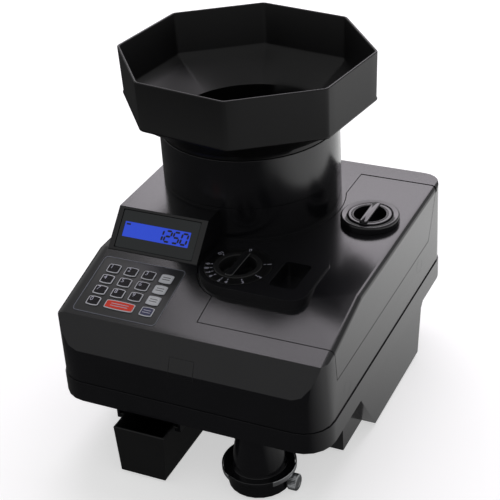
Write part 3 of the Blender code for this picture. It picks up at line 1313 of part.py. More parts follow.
def make_coin_rail():
    """The fixed guide on the left of the coins, with the upright plate that carries the feed rollers."""
    right = PATH_X - COIN_RADIUS
    low = DECK_TOP_Z + TOUCH
    rail = box("coin_rail", (right - RAIL_WIDTH, RAIL_FRONT_Y, low), (right, RAIL_REAR_Y, low + RAIL_HEIGHT))
    top = ROLLER_Z + ROLLER_RADIUS
    plate_right = bracket_x()
    fuse(rail, box("bridge", (right - RAIL_WIDTH, ROLLER_FRONT_Y, low + RAIL_HEIGHT - TOUCH),
                   (plate_right, ROLLER_REAR_Y, low + RAIL_HEIGHT + BRACKET_THICKNESS)),
         box("roller_plate", (plate_right - BRACKET_THICKNESS, ROLLER_FRONT_Y - ROLLER_PIN_RADIUS * 3,
                              low + RAIL_HEIGHT), (plate_right, ROLLER_REAR_Y + ROLLER_PIN_RADIUS * 3, top)))
    for y in (ROLLER_REAR_Y, ROLLER_FRONT_Y):
        cut(rail, rod("pin_hole", (plate_right - 2 * BRACKET_THICKNESS, y, ROLLER_Z),
                      (plate_right + OVERRUN, y, ROLLER_Z), ROLLER_PIN_RADIUS + TOUCH, 16))
    return paint(rail, STEEL, 0.35, 1.0)


def make_roller(name, y, reach):
    """A feed roller with its pin; reach is how far the pin goes on to the right."""
    left = bracket_x() + RUNNING
    roller = rod(name, (left, y, ROLLER_Z), (left + ROLLER_WIDTH, y, ROLLER_Z), ROLLER_RADIUS, 24)
    fuse(roller, rod("pin", (left - RUNNING - BRACKET_THICKNESS, y, ROLLER_Z),
                     (left + ROLLER_WIDTH + reach, y, ROLLER_Z),
                     ROLLER_PIN_RADIUS, 16))
    return paint(move_origin(roller, (PATH_X, y, ROLLER_Z)), GREY_PLASTIC, 0.5)


def feed_loop(radius):
    """Side view of the feed belt round its two rollers."""
    return (arc(ROLLER_REAR_Y, ROLLER_Z, radius, -90, 90, 10) + arc(ROLLER_FRONT_Y, ROLLER_Z, radius, 90,
                                                                    270, 10))


def make_feed_belt():
    left = bracket_x() + 2 * RUNNING
    right = left + ROLLER_WIDTH - 2 * RUNNING
    inner = ROLLER_RADIUS + TOUCH
    belt = prism("feed_belt", feed_loop(inner + FEED_BELT_THICKNESS), left, right, "X")
    cut(belt, prism("feed_belt_inside", feed_loop(inner), left - OVERRUN, right + OVERRUN, "X"))
    return paint(belt, RUBBER, 0.7)


def make_feed_motor():
    """A small motor on a foot, its bore round the front roller's pin."""
    left = bracket_x() + RUNNING + ROLLER_WIDTH + 2 * RUNNING
    right = left + FEED_MOTOR_LENGTH
    motor = rod("feed_motor", (left, ROLLER_FRONT_Y, ROLLER_Z), (right, ROLLER_FRONT_Y, ROLLER_Z),
                FEED_MOTOR_RADIUS, 24)
    foot_left = right - FEED_MOTOR_LENGTH / 2
    fuse(motor, box("motor_foot", (foot_left, ROLLER_FRONT_Y - FEED_MOTOR_RADIUS / 2, DECK_TOP_Z + TOUCH),
                    (right, ROLLER_FRONT_Y + FEED_MOTOR_RADIUS / 2, ROLLER_Z)))
    cut(motor, rod("motor_bore", (left - OVERRUN, ROLLER_FRONT_Y, ROLLER_Z),
                   (left + FEED_MOTOR_LENGTH / 2, ROLLER_FRONT_Y, ROLLER_Z), ROLLER_PIN_RADIUS + TOUCH, 16))
    return paint(motor, STEEL, 0.4, 1.0)


def make_coin_sensor():
    left = PATH_X + COIN_RADIUS
    low = DECK_TOP_Z + TOUCH
    sensor = box("coin_sensor", (left, SENSOR_Y - SENSOR_LENGTH / 2, low),
                 (left + SENSOR_WIDTH, SENSOR_Y + SENSOR_LENGTH / 2, low + SENSOR_HEIGHT))
    return paint(rounded(sensor, TOUCH * 2, 1), DARK_PLASTIC, 0.5)


# Reject path

def make_reject_flap():
    top = DECK_TOP_Z
    low = top - FLAP_THICKNESS
    flap = box("reject_flap", (FLAP_LEFT_X, FLAP_REAR_Y - FLAP_LENGTH, low),
               (FLAP_RIGHT_X, FLAP_REAR_Y, top))
    z = flap_axis_z()
    fuse(flap, rod("flap_pin", (FLAP_LEFT_X - RUNNING - 2 * FLAP_PIN_RADIUS, FLAP_REAR_Y, z),
                   (FLAP_RIGHT_X + RUNNING + 2 * FLAP_PIN_RADIUS, FLAP_REAR_Y, z), FLAP_PIN_RADIUS, 12))
    return paint(move_origin(flap, (PATH_X, FLAP_REAR_Y, z)), STEEL, 0.3, 1.0)


def plunger_y():
    return FLAP_REAR_Y - SOLENOID_REACH


def make_gate_solenoid():
    low = CHASSIS_TOP_Z + TOUCH
    top = low + SOLENOID_HEIGHT
    body = upright("gate_solenoid", SOLENOID_X, plunger_y(), low, top, SOLENOID_RADIUS, 24)
    cut(body, upright("plunger_bore", SOLENOID_X, plunger_y(), low + WALL, top + OVERRUN,
                      PLUNGER_RADIUS + TOUCH, 16))
    return paint(body, COPPER, 0.4, 0.5)


def make_solenoid_plunger():
    top = DECK_TOP_Z - FLAP_THICKNESS - TOUCH
    low = CHASSIS_TOP_Z + TOUCH + SOLENOID_HEIGHT - PLUNGER_DEPTH
    plunger = upright("solenoid_plunger", SOLENOID_X, plunger_y(), low, top, PLUNGER_RADIUS, 16)
    return paint(move_origin(plunger, (SOLENOID_X, plunger_y(), top)), STEEL, 0.3, 1.0)


def make_reject_chute():
    """An open channel that carries rejected coins down to the hole above the tray."""
    start = Vector((PATH_X + COIN_RADIUS + CHUTE_WALL, plunger_y(), DECK_Z - CHUTE_TOP_DROP))
    end = Vector((CHUTE_END_X, CHUTE_LOW_Y, CHASSIS_TOP_Z + CHUTE_END_RISE))
    length = (end - start).length
    half = CHUTE_WIDTH / 2
    chute = box("reject_chute", (0, -half, -CHUTE_WALL), (length, half, CHUTE_DEPTH))
    cut(chute, box("chute_inside", (CHUTE_WALL, -half + CHUTE_WALL, 0),
                   (length + OVERRUN, half - CHUTE_WALL, CHUTE_DEPTH + OVERRUN)))
    level = math.hypot(end.x - start.x, end.y - start.y)
    turn = Matrix.Rotation(math.atan2(end.y - start.y, end.x - start.x), 4, "Z")
    tilt = Matrix.Rotation(math.atan2(start.z - end.z, level), 4, "Y")
    chute.data.transform(Matrix.Translation(start) @ turn @ tilt)
    middle = (start + end) / 2
    fuse(chute, upright("chute_post", middle.x, middle.y, CHASSIS_TOP_Z + TOUCH, middle.z - CHUTE_WALL / 2,
                        POST_RADIUS, 16))
    return paint(chute, GREY_PLASTIC, 0.5)


# Outlet

def tube_radius(z):
    share = (z - TUBE_BOTTOM_Z) / (TUBE_TOP_Z - TUBE_BOTTOM_Z)
    return TUBE_BOTTOM_RADIUS + (TUBE_TOP_RADIUS - TUBE_BOTTOM_RADIUS) * share


def make_coin_tube():
    """A spout from the deck through the overhang, then a cone that widens to the mouth of a coin bag."""
    wall = TUBE_WALL
    high = FLANGE_Z + FLANGE_THICKNESS
    top = DECK_Z - TOUCH
    spout = FUNNEL_RADIUS + FUNNEL_WALL
    tube = turned("coin_tube", [
        (FUNNEL_TOP_RADIUS - FUNNEL_WALL, top), (FUNNEL_TOP_RADIUS, top), (FUNNEL_TOP_RADIUS, top - WALL),
        (spout, top - 2 * WALL), (spout, TUBE_TOP_Z), (TUBE_TOP_RADIUS, TUBE_TOP_Z),
        (tube_radius(high), high),
        (FLANGE_RADIUS, high), (FLANGE_RADIUS, FLANGE_Z), (tube_radius(FLANGE_Z), FLANGE_Z),
        (TUBE_BOTTOM_RADIUS, TUBE_BOTTOM_Z), (TUBE_BOTTOM_RADIUS - wall, TUBE_BOTTOM_Z),
        (TUBE_TOP_RADIUS - wall, TUBE_TOP_Z - WALL), (FUNNEL_RADIUS, TUBE_TOP_Z),
        (FUNNEL_RADIUS, top - 2 * WALL)],
        PATH_X, OUTLET_Y)
    cut(tube, rod("thumb_hole", (PATH_X + TUBE_TOP_RADIUS / 2, OUTLET_Y, THUMB_Z),
                  (PATH_X + FLANGE_RADIUS, OUTLET_Y, THUMB_Z), THUMB_SHANK_RADIUS + TOUCH, 16))
    return paint(tube, BLACK_PLASTIC, 0.35)


def make_bag_clamp_ring():
    """An open steel band round the tube's flange."""
    inner = FLANGE_RADIUS + TOUCH
    outer = inner + RING_THICKNESS
    start = math.degrees(RING_GAP_END)
    end = math.degrees(RING_GAP_START) + 360
    band = arc(PATH_X, OUTLET_Y, outer, start, end, 28) + arc(PATH_X, OUTLET_Y, inner, end, start, 28)
    low = FLANGE_Z + (FLANGE_THICKNESS - RING_BAND) / 2
    ring = prism("bag_clamp_ring", band, low, low + RING_BAND)
    return paint(move_origin(ring, (PATH_X, OUTLET_Y, low)), CHROME, 0.15, 1.0)


def make_thumbscrew():
    z = THUMB_Z
    face = PATH_X + TUBE_BOTTOM_RADIUS + TOUCH
    screw = rod("thumbscrew", (face, OUTLET_Y, z), (face + THUMB_LENGTH, OUTLET_Y, z), THUMB_RADIUS, 24)
    fuse(screw, rod("shank", (face - TUBE_WALL * 3, OUTLET_Y, z), (face + THUMB_LENGTH / 2, OUTLET_Y, z),
                    THUMB_SHANK_RADIUS, 16))
    return paint(move_origin(screw, (face, OUTLET_Y, z)), STEEL, 0.3, 1.0)


def make_reject_tray():
    """An open box with drawn-in sides and lips that ride on the moulded ledges."""
    middle = (TRAY_LEFT_X + TRAY_RIGHT_X) / 2
    half = (TRAY_RIGHT_X - TRAY_LEFT_X) / 2
    rear = TRAY_FRONT_Y + TRAY_LENGTH
    low = STAND_Z

    def drafted(name, depth, bottom, top):
        draft = TRAY_DRAFT * (TRAY_TOP_Z - bottom) / (TRAY_TOP_Z - low)
        over = TRAY_DRAFT * (TRAY_TOP_Z - top) / (TRAY_TOP_Z - low)
        profile = [(middle - half + draft + depth, bottom), (middle + half - draft - depth, bottom),
                   (middle + half - over - depth, top), (middle - half + over + depth, top)]
        return prism(name, profile, TRAY_FRONT_Y + depth, rear - depth, "Y")

    tray = drafted("reject_tray", 0, low, TRAY_TOP_Z)
    for x in (TRAY_LEFT_X - TRAY_LIP, TRAY_RIGHT_X - TRAY_LIP):
        fuse(tray, box("lip", (x, TRAY_FRONT_Y + TRAY_LIP_START, TRAY_TOP_Z - TRAY_WALL),
                       (x + 2 * TRAY_LIP, rear, TRAY_TOP_Z)))
    cut(tray, drafted("tray_inside", TRAY_WALL, low + TRAY_WALL, TRAY_TOP_Z + OVERRUN))
    return paint(move_origin(tray, (middle, rear, low)), BLACK_PLASTIC, 0.45)


# Power and control

def make_transformer():
    low = BOTTOM_PLATE_TOP_Z + TOUCH
    core = box("transformer",
               (TRANSFORMER_X - TRANSFORMER_WIDTH / 2, TRANSFORMER_Y - TRANSFORMER_DEPTH / 4, low),
               (TRANSFORMER_X + TRANSFORMER_WIDTH / 2, TRANSFORMER_Y + TRANSFORMER_DEPTH / 4,
                low + TRANSFORMER_HEIGHT))
    edge = TRANSFORMER_WIDTH / 6
    fuse(core, box("winding", (TRANSFORMER_X - edge * 2, TRANSFORMER_Y - TRANSFORMER_DEPTH / 2, low + edge),
                   (TRANSFORMER_X + edge * 2, TRANSFORMER_Y + TRANSFORMER_DEPTH / 2,
                    low + TRANSFORMER_HEIGHT - edge)))
    return paint(core, STEEL, 0.5, 0.6)


def make_control_board():
    low = BOTTOM_PLATE_TOP_Z + BOARD_STAND_OFF
    top = low + BOARD_THICKNESS
    left = BOARD_X - BOARD_WIDTH / 2
    front = BOARD_Y - BOARD_DEPTH / 2
    board = box("control_board", (left, front, low), (left + BOARD_WIDTH, front + BOARD_DEPTH, top))
    for share in CHIP_SHARES:
        x = left + BOARD_WIDTH * share
        fuse(board, box("chip",
                        (x - BOARD_PART_HEIGHT / 2, BOARD_Y - BOARD_PART_HEIGHT, top - BOARD_THICKNESS / 2),
                        (x + BOARD_PART_HEIGHT / 2, BOARD_Y + BOARD_PART_HEIGHT / 2,
                         top + BOARD_PART_HEIGHT)))
    inset_by = BOARD_STAND_OFF
    for x in (left + inset_by, left + BOARD_WIDTH - inset_by):
        for y in (front + inset_by, front + BOARD_DEPTH - inset_by):
            fuse(board, upright("stand_off", x, y, BOTTOM_PLATE_TOP_Z + TOUCH, top - BOARD_THICKNESS / 2,
                                BOARD_STAND_OFF / 2, 12))
    return paint(board, GREEN_BOARD, 0.5)


def make_power_inlet():
    z = INLET_Z
    half = INLET_WIDTH / 2
    tall = INLET_TALL / 2
    face = REAR_Y + TOUCH
    inlet = box("power_inlet", (INLET_X - half, REAR_Y - INLET_DEPTH, z - tall),
                (INLET_X + half, face + TOUCH, z + tall))
    fuse(inlet, box("inlet_flange", (INLET_X - half - INLET_FLANGE, face, z - tall - INLET_FLANGE),
                    (INLET_X + half + INLET_FLANGE, face + INLET_FLANGE_THICKNESS, z + tall + INLET_FLANGE)))
    back = face + INLET_FLANGE_THICKNESS
    cut(inlet, box("socket", (INLET_X - half + SOCKET_WALL, back - SOCKET_DEPTH, z - tall + SOCKET_WALL),
                   (INLET_X + half - SOCKET_WALL, back + OVERRUN, z + tall - SOCKET_WALL)))
    for share in CONTACT_SHARES:
        x = INLET_X + share * half / 2
        y = z + (SOCKET_WALL if share == 0 else -SOCKET_WALL / 2)
        fuse(inlet, box("contact", (x - SOCKET_PIN / 2, back - SOCKET_DEPTH - TOUCH, y - SOCKET_PIN),
                        (x + SOCKET_PIN / 2, back - INLET_FLANGE_THICKNESS, y + SOCKET_PIN)))
    return paint(inlet, DARK_PLASTIC, 0.4)


def make_power_switch():
    """A rocker that tips about its middle, with the lower half pressed in."""
    z = INLET_Z
    half = ROCKER_WIDTH / 2 - RUNNING
    tall = ROCKER_TALL / 2 - RUNNING
    bulge = tall * math.tan(ROCKER_TILT)
    face = REAR_Y + bulge / 2
    profile = [(face - ROCKER_DEPTH / 2, z - tall + RUNNING), (face, z - tall), (face, z),
               (face + bulge, z + tall),
               (face - ROCKER_DEPTH / 2, z + tall - RUNNING)]
    rocker = prism("power_switch", profile, ROCKER_X - half, ROCKER_X + half, "X")
    fuse(rocker, rod("rocker_pin", (ROCKER_X - half - RUNNING, face - ROCKER_DEPTH / 4, z),
                     (ROCKER_X + half + RUNNING, face - ROCKER_DEPTH / 4, z), ROCKER_FRAME / 2, 12))
    return paint(move_origin(rocker, (ROCKER_X, face - ROCKER_DEPTH / 4, z)), DARK_PLASTIC, 0.35)


def make_all():
    make_lower_housing()
    make_upper_housing()
    make_bottom_plate()
    make_rubber_feet()
    make_access_lid()
    make_hinge_rod()
    make_thickness_dial()
    make_thickness_scale()
    make_thickness_gauge()
    make_size_knob()
    make_size_knob_bezel()
    make_size_gate()
    make_hopper_neck()
    make_hopper()
    make_display_window()
    make_lcd_module()
    make_keypad_panel()
    for name, (x, along) in key_places().items():
        make_key(name, x, along)
    make_chassis_plate()
    make_coin_deck()
    make_coin_disc()
    make_disc_shaft()
    make_drive_belt()
    make_drive_motor()
    make_motor_pulley()
    make_coin_rail()
    make_roller("feed_roller_rear", ROLLER_REAR_Y, 0)
    make_roller("feed_roller_front", ROLLER_FRONT_Y, FEED_MOTOR_LENGTH / 2)
    make_feed_belt()
    make_feed_motor()
    make_coin_sensor()
    make_reject_flap()
    make_gate_solenoid()
    make_solenoid_plunger()
    make_reject_chute()
    make_coin_tube()
    make_bag_clamp_ring()
    make_thumbscrew()
    make_reject_tray()
    make_transformer()
    make_control_board()
    make_power_inlet()
    make_power_switch()


make_all()
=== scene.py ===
"""Dresses a packed coin sorting machine: shells, funnel hopper, dials, keypad, lit display and outlet.

The frame faces -Y with +X to its right and +Z up, in metres. Every piece is made where the frame says, in
its own mesh, and rides on one of the frame's bodies.
"""
import math

import bmesh
import bpy
import numpy as np
from bpy.props import FloatProperty, FloatVectorProperty, PointerProperty, StringProperty
from mathutils import Matrix, Vector


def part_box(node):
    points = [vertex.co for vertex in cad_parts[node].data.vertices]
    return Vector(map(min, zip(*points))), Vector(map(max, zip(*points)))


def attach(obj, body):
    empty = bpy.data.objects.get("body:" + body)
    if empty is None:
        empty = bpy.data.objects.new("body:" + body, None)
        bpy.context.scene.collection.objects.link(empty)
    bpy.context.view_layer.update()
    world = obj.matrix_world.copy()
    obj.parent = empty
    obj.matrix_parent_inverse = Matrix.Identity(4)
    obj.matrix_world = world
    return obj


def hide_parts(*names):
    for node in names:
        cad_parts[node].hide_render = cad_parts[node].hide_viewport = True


bl_info = {
    "name": "Coin Sorting Machine",
    "version": (1, 0, 0),
    "blender": (4, 5, 0),
    "location": "View3D > Sidebar > Coin Sorter",
    "description": "Shells, hopper, dials, keypad, display and outlet of a coin sorting machine",
    "category": "Add Mesh",
}

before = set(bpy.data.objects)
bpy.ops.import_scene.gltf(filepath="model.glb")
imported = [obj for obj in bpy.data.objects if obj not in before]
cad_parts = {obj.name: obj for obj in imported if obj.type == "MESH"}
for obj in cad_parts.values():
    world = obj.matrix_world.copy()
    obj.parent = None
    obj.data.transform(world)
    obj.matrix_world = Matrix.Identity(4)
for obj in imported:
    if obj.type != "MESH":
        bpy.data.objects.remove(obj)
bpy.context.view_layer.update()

MM = 0.001

# Counts, shares and fine sizes that many pieces share
MERGE = 0.001 * MM
SHELL_MERGE = 10 * MERGE
LEAST_LENGTH = 1e-9
ROUND_STEPS = 96
SMALL_STEPS = 48
CORNER_STEPS = 4
ROUND_SHARE = 0.45
LEAST_MITRE = 0.5
EDGE_STEPS = 8
FEW_STEPS = 3
LEAST_STEPS = 2
PRINT_LIFT = 0.06 * MM
LEGEND_THICKNESS = 0.05 * MM
SHELL_EDGE = 0.5 * MM
FINE_EDGE = 0.3 * MM
FLAT_ANGLE = math.radians(0.6)

# Angles in degrees beyond which an edge is sharp, for most pieces and for three kinds apart
PIECE_SHARP = 40
SHELL_SHARP = 35
BOWL_SHARP = 50
KEY_SHARP = 20

# Levels and breaks of the housing, as in the frame
TOP_Z = 170.1 * MM
BREAK_Y = -137.5 * MM
SLOPE_RUN = 84.5 * MM
SLOPE_DROP = 22.2 * MM
FRONT_Y = -235 * MM
FACET_BOTTOM_Z = 116.8 * MM
FACET_TOP_Y = -222 * MM
SIDE_X = 135 * MM
DISPLAY_FOOT_Y = -140 * MM
DISPLAY_RUN = 30 * MM
DISPLAY_RISE = 30.5 * MM

# Blank opening on the front and the round marks on the right side
BLANK_HALF_WIDTH = 12.5 * MM
BLANK_TOP_Z = 130 * MM
BLANK_BOTTOM_Z = 112 * MM
BLANK_LINE = 0.5 * MM
BLANK_LIFT = 0.1 * MM
MARK_PLACES = ((-176 * MM, 96 * MM), (23 * MM, 107 * MM))
MARK_RADIUS = 8 * MM

# Hopper: an eight-sided bowl on a round spigot
HOPPER_X = -31.6 * MM
HOPPER_YAW = math.radians(-8.1)
HOPPER_HALF_WIDTH = 117.5 * MM
HOPPER_HALF_DEPTH = 110.5 * MM
HOPPER_CORNER_X = 48.4 * MM
HOPPER_CORNER_Y = 46.8 * MM
HOPPER_SIDES = 8
HOPPER_CORNER_RADIUS = 3 * MM
HOPPER_RIM_Z = 328.9 * MM
HOPPER_WALL_Z = 280.6 * MM
HOPPER_SEAT_Z = 253.8 * MM
HOPPER_WALL = 2.6 * MM
HOPPER_DRAFT = 0.5 * MM
HOPPER_SKIRT = 4 * MM
HOPPER_EDGE = 1 * MM
HOPPER_FINE_SHARE = 0.3
NECK_RADIUS = 88.2 * MM
SPIGOT_RADIUS = 81 * MM
SPIGOT_LENGTH = 22 * MM

# Thickness dial and size knob
CUP_DEPTH = 12 * MM
CUP_DRAFT = 1.2 * MM
CUP_FILLET = 2 * MM
KNOB_EDGE = 0.7 * MM
KNOB_FLOOR = 2 * MM
SHAFT_RADIUS = 3.5 * MM
DIAL_CUP_RADIUS = 17.5 * MM
KNOB_CUP_RADIUS = 15.6 * MM
KNOB_GAP = 0.5 * MM
GRIP_WIDTH = 8 * MM
GRIP_RISE = 2 * MM
GRIP_FLARE = 1.6 * MM
GRIP_ROUND = 1 * MM
GRIP_ROUND_SHARE = 0.8
GRIP_END = 0.6 * MM
KNOB_RING_START = 0.8 * MM
KNOB_RING_WIDTH = 1.8 * MM
KNOB_RING_SINK = 0.3 * MM
BEZEL_SLOPE_WIDTH = 1.2 * MM
BEZEL_SLOPE_DROP = 1.5 * MM
BEZEL_ROUND = 0.9 * MM

# Printed scale round the dial: each mark's direction in degrees from +X, with its plain figure
SCALE_MARKS = ((148, "10"), (192, "9"), (207, "8"), (222, "7"), (237, "6"), (259, "5"), (273, "4"),
               (303, "3"), (337, "2"), (24, "1"), (91, "0"))
TICK_WIDTH = 0.7 * MM
TICK_LENGTH = 2.2 * MM
TICK_START = 0.6 * MM
FIGURE_SHARE = 0.56

# Display
WINDOW_LEFT_X = -115.2 * MM
WINDOW_RIGHT_X = -33 * MM
WINDOW_LENGTH = 37.5 * MM
WINDOW_THICKNESS = 2 * MM
WINDOW_SINK = 0.6 * MM
WINDOW_CORNER = 2 * MM
LCD_LEFT_X = -110.7 * MM
LCD_RIGHT_X = -40.6 * MM
LCD_RISE = 14 * MM
LCD_LENGTH = 15 * MM
LCD_SINK = 0.2 * MM
DIGIT_MARGIN = 3 * MM
DIGIT_HEIGHT = 10.6 * MM
DIGIT_WIDTH = 6 * MM
DIGIT_PITCH = 8.6 * MM
DIGIT_STROKE = 1.9 * MM
DIGIT_LEAN = 0.1
SIGN_WIDTH = 4.5 * MM
SIGN_LENGTH = 1.6 * MM

# Keypad and keys
PANEL_START = 13.4 * MM
PANEL_LENGTH = 66 * MM
PANEL_MARGIN = 3 * MM
PANEL_RISE = 0.15 * MM
PANEL_THICKNESS = 1 * MM
PANEL_CORNER = 5 * MM
PANEL_LINE = 0.8 * MM
PANEL_LINE_RISE = 0.2 * MM
KEY_LENGTH = 11 * MM
KEY_LOW = 0.7 * MM
KEY_TOP = 1.4 * MM
KEY_EDGE = 0.4 * MM
KEY_CORNER = 1.8 * MM
KEY_BOW = 0.8 * MM
KEY_STEM_RADIUS = 2 * MM
KEY_STEM_BOTTOM = -3.6 * MM
KEY_BAR_PITCH = 1.3 * MM
KEY_BAR_WIDTH = 0.35 * MM
KEY_BAR_SHARE = 0.3
KEY_FIGURE_SHARES = (1 / 5, 1 / 7)
KEY_STEM_STEPS = 16

# Outlet tube's band and thumbscrew
OUTLET_X = 62 * MM
OUTLET_Y = -214 * MM
BAND_THICKNESS = 1.2 * MM
BAND_START = math.radians(-45)
BAND_END = math.radians(239)
BAND_STEPS = 80
THUMB_FACE_X = 91.7 * MM
THUMB_SHANK_RADIUS = 2.5 * MM
THUMB_SHANK_LENGTH = 6 * MM
THUMB_EDGE = 1 * MM
THUMB_HOLLOW = 0.4 * MM
THUMB_FLUTES = 36
THUMB_FLUTE_DEPTH = 0.35 * MM
THUMB_STEPS = 144

# Feed disc under the neck
DISC_TOP_Z = 118 * MM
DISC_HUB_RADIUS = 12 * MM
DISC_HUB_HEIGHT = 4 * MM
DISC_DISH = 0.6 * MM
DISC_RIM = 4 * MM
STUD_RADIUS = 4 * MM
STUD_COUNT = 3
STUD_SHARE = 2 / 3

# Rubber feet
FOOT_TAPER = 1.2 * MM
FOOT_HOLLOW = 0.6 * MM

# Camera that took the photograph
CAMERA_AZIMUTH = math.radians(26.63)
CAMERA_ELEVATION = math.radians(30.93)
CAMERA_ROLL = math.radians(-3.82)
CAMERA_DISTANCE = 1403.7 * MM
CAMERA_TARGET = Vector((-40.46 * MM, 0, 103.68 * MM))
CAMERA_LENS = 97.74
CAMERA_SENSOR = 36

# Floor, room and window, with lengths in metres
FLOOR_Z = -3 * MM
FLOOR_HALF = 6.0
FLOOR_COLOUR = "#e6e6e6"
FLOOR_ROUGHNESS = 0.9
FLOOR_GLOW = 0.55
FLOOR_FAR_GLOSS = 1.35
FLOOR_NEAR_GLOSS = 0.06
FLOOR_GLOSS_WAY = (0.8, 0.6, 0)
FLOOR_GLOSS_START = -0.05
FLOOR_GLOSS_END = 0.34
ROOM_GLOSS = 0.5
WINDOW_AZIMUTH = math.radians(191)
WINDOW_ELEVATION = math.radians(49)
WINDOW_DISTANCE = 2.4
WINDOW_SIZE = 2.1
WINDOW_COLOUR = "#fdf6ff"
WINDOW_AIM = Vector((0, 0, 0.15))


def to_linear(code):
    """The sRGB hex code as linear red, green and blue: the upper part is ((c + 0.055) / 1.055) ** 2.4."""
    values = [int(code[i:i + 2], 16) / 255 for i in (1, 3, 5)]
    return tuple(c / 12.92 if c <= 0.04045 else ((c + 0.055) / 1.055) ** 2.4 for c in values)


def corner(name, high=False):
    """A CAD node's lowest corner, or its highest, as an array."""
    return np.array(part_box(name)[1 if high else 0])


def middle(name):
    """The middle of a CAD node's box."""
    return (corner(name) + corner(name, True)) / 2


def half_width(name):
    """Half a CAD node's width along X, which is the radius of a round upright one."""
    return (corner(name, True)[0] - corner(name)[0]) / 2


def heights(name):
    """The lowest and the highest Z of a CAD node."""
    return corner(name)[2], corner(name, True)[2]


def upright_at(name):
    """A matrix that puts a shape made about the Z axis over the middle of a CAD node."""
    x, y, _ = middle(name)
    return Matrix.Translation((x, y, 0))


SLOPE = (Matrix.Translation((0, BREAK_Y, TOP_Z))
         @ Matrix.Rotation(math.atan2(SLOPE_DROP, SLOPE_RUN), 4, "X"))
DISPLAY = (Matrix.Translation((0, DISPLAY_FOOT_Y, TOP_Z))
           @ Matrix.Rotation(math.atan2(DISPLAY_RISE, DISPLAY_RUN), 4, "X"))


# Materials

# How far apart the drifts of colour lie, where their ramp ends, how coarse the specks of roughness are and
# how smooth they may get; then the lit display's surface, as a share of its glow's colour and a roughness
DRIFT_SIZE = 40 * MM
DRIFT_ENDS = (0.3, 0.7)
SPECK_SHARE = 3
LEAST_ROUGHNESS = 0.02
LIT_SHADE = 0.3
LIT_ROUGHNESS = 0.25


def node(tree, kind, links=(), **settings):
    """Adds one shader node. Sockets and properties are set by name, and links are (output, input)."""
    made = tree.nodes.new(kind)
    for name, value in settings.items():
        socket = next((s for s in made.inputs if s.name.lower() == name.replace("_", " ")), None)
        if socket is None:
            setattr(made, name, value)
        else:
            socket.default_value = value
    for source, target in links:
        tree.links.new(source, made.inputs[target])
    return made


def finish_material(name, colour, roughness, metallic=0.0, grain=0.4 * MM, depth=0.02, spread=0.06,
                    tint=0.12, gleam=0.5):
    """A Principled material whose colour and roughness drift softly and whose surface has a fine grain.

    Slow noise drifts the colour between shades that are darker and lighter by tint. Noise a few times as
    coarse as the grain moves the roughness by spread, and noise of the grain's own size is the bump.
    """
    made = bpy.data.materials.new(name)
    made.use_nodes = True
    tree = made.node_tree
    shader = tree.nodes["Principled BSDF"]
    place = node(tree, "ShaderNodeTexCoord").outputs["Object"]
    drift = node(tree, "ShaderNodeTexNoise", [(place, "Vector")], scale=1 / DRIFT_SIZE, detail=3.0)
    ramp = node(tree, "ShaderNodeValToRGB", [(drift.outputs["Fac"], "Fac")])
    ends = ramp.color_ramp.elements
    ends[0].position, ends[1].position = DRIFT_ENDS
    ends[0].color = (*(c * (1 - tint) for c in colour), 1)
    ends[1].color = (*(min(1, c * (1 + tint)) for c in colour), 1)
    tree.links.new(ramp.outputs["Color"], shader.inputs["Base Color"])
    speck = node(tree, "ShaderNodeTexNoise", [(place, "Vector")], scale=1 / (SPECK_SHARE * grain),
                 detail=4.0)
    rough = node(tree, "ShaderNodeMapRange", [(speck.outputs["Fac"], "Value")],
                 to_min=max(LEAST_ROUGHNESS, roughness - spread), to_max=roughness + spread)
    tree.links.new(rough.outputs["Result"], shader.inputs["Roughness"])
    if depth:
        fine = node(tree, "ShaderNodeTexNoise", [(place, "Vector")], scale=1 / grain, detail=2.0)
        bump = node(tree, "ShaderNodeBump", [(fine.outputs["Fac"], "Height")], strength=depth,
                    distance=grain)
        tree.links.new(bump.outputs["Normal"], shader.inputs["Normal"])
    shader.inputs["Metallic"].default_value = metallic
    shader.inputs["Specular IOR Level"].default_value = gleam
    return made


def lit_material(name, colour, strength):
    """The display's glass: it gives the eye an even glow in one colour, with a faint shine over it."""
    made = finish_material(name, tuple(c * LIT_SHADE for c in colour), LIT_ROUGHNESS, depth=0.0)
    shader = made.node_tree.nodes["Principled BSDF"]
    shader.inputs["Emission Color"].default_value = (*colour, 1)
    shader.inputs["Emission Strength"].default_value = strength
    return made


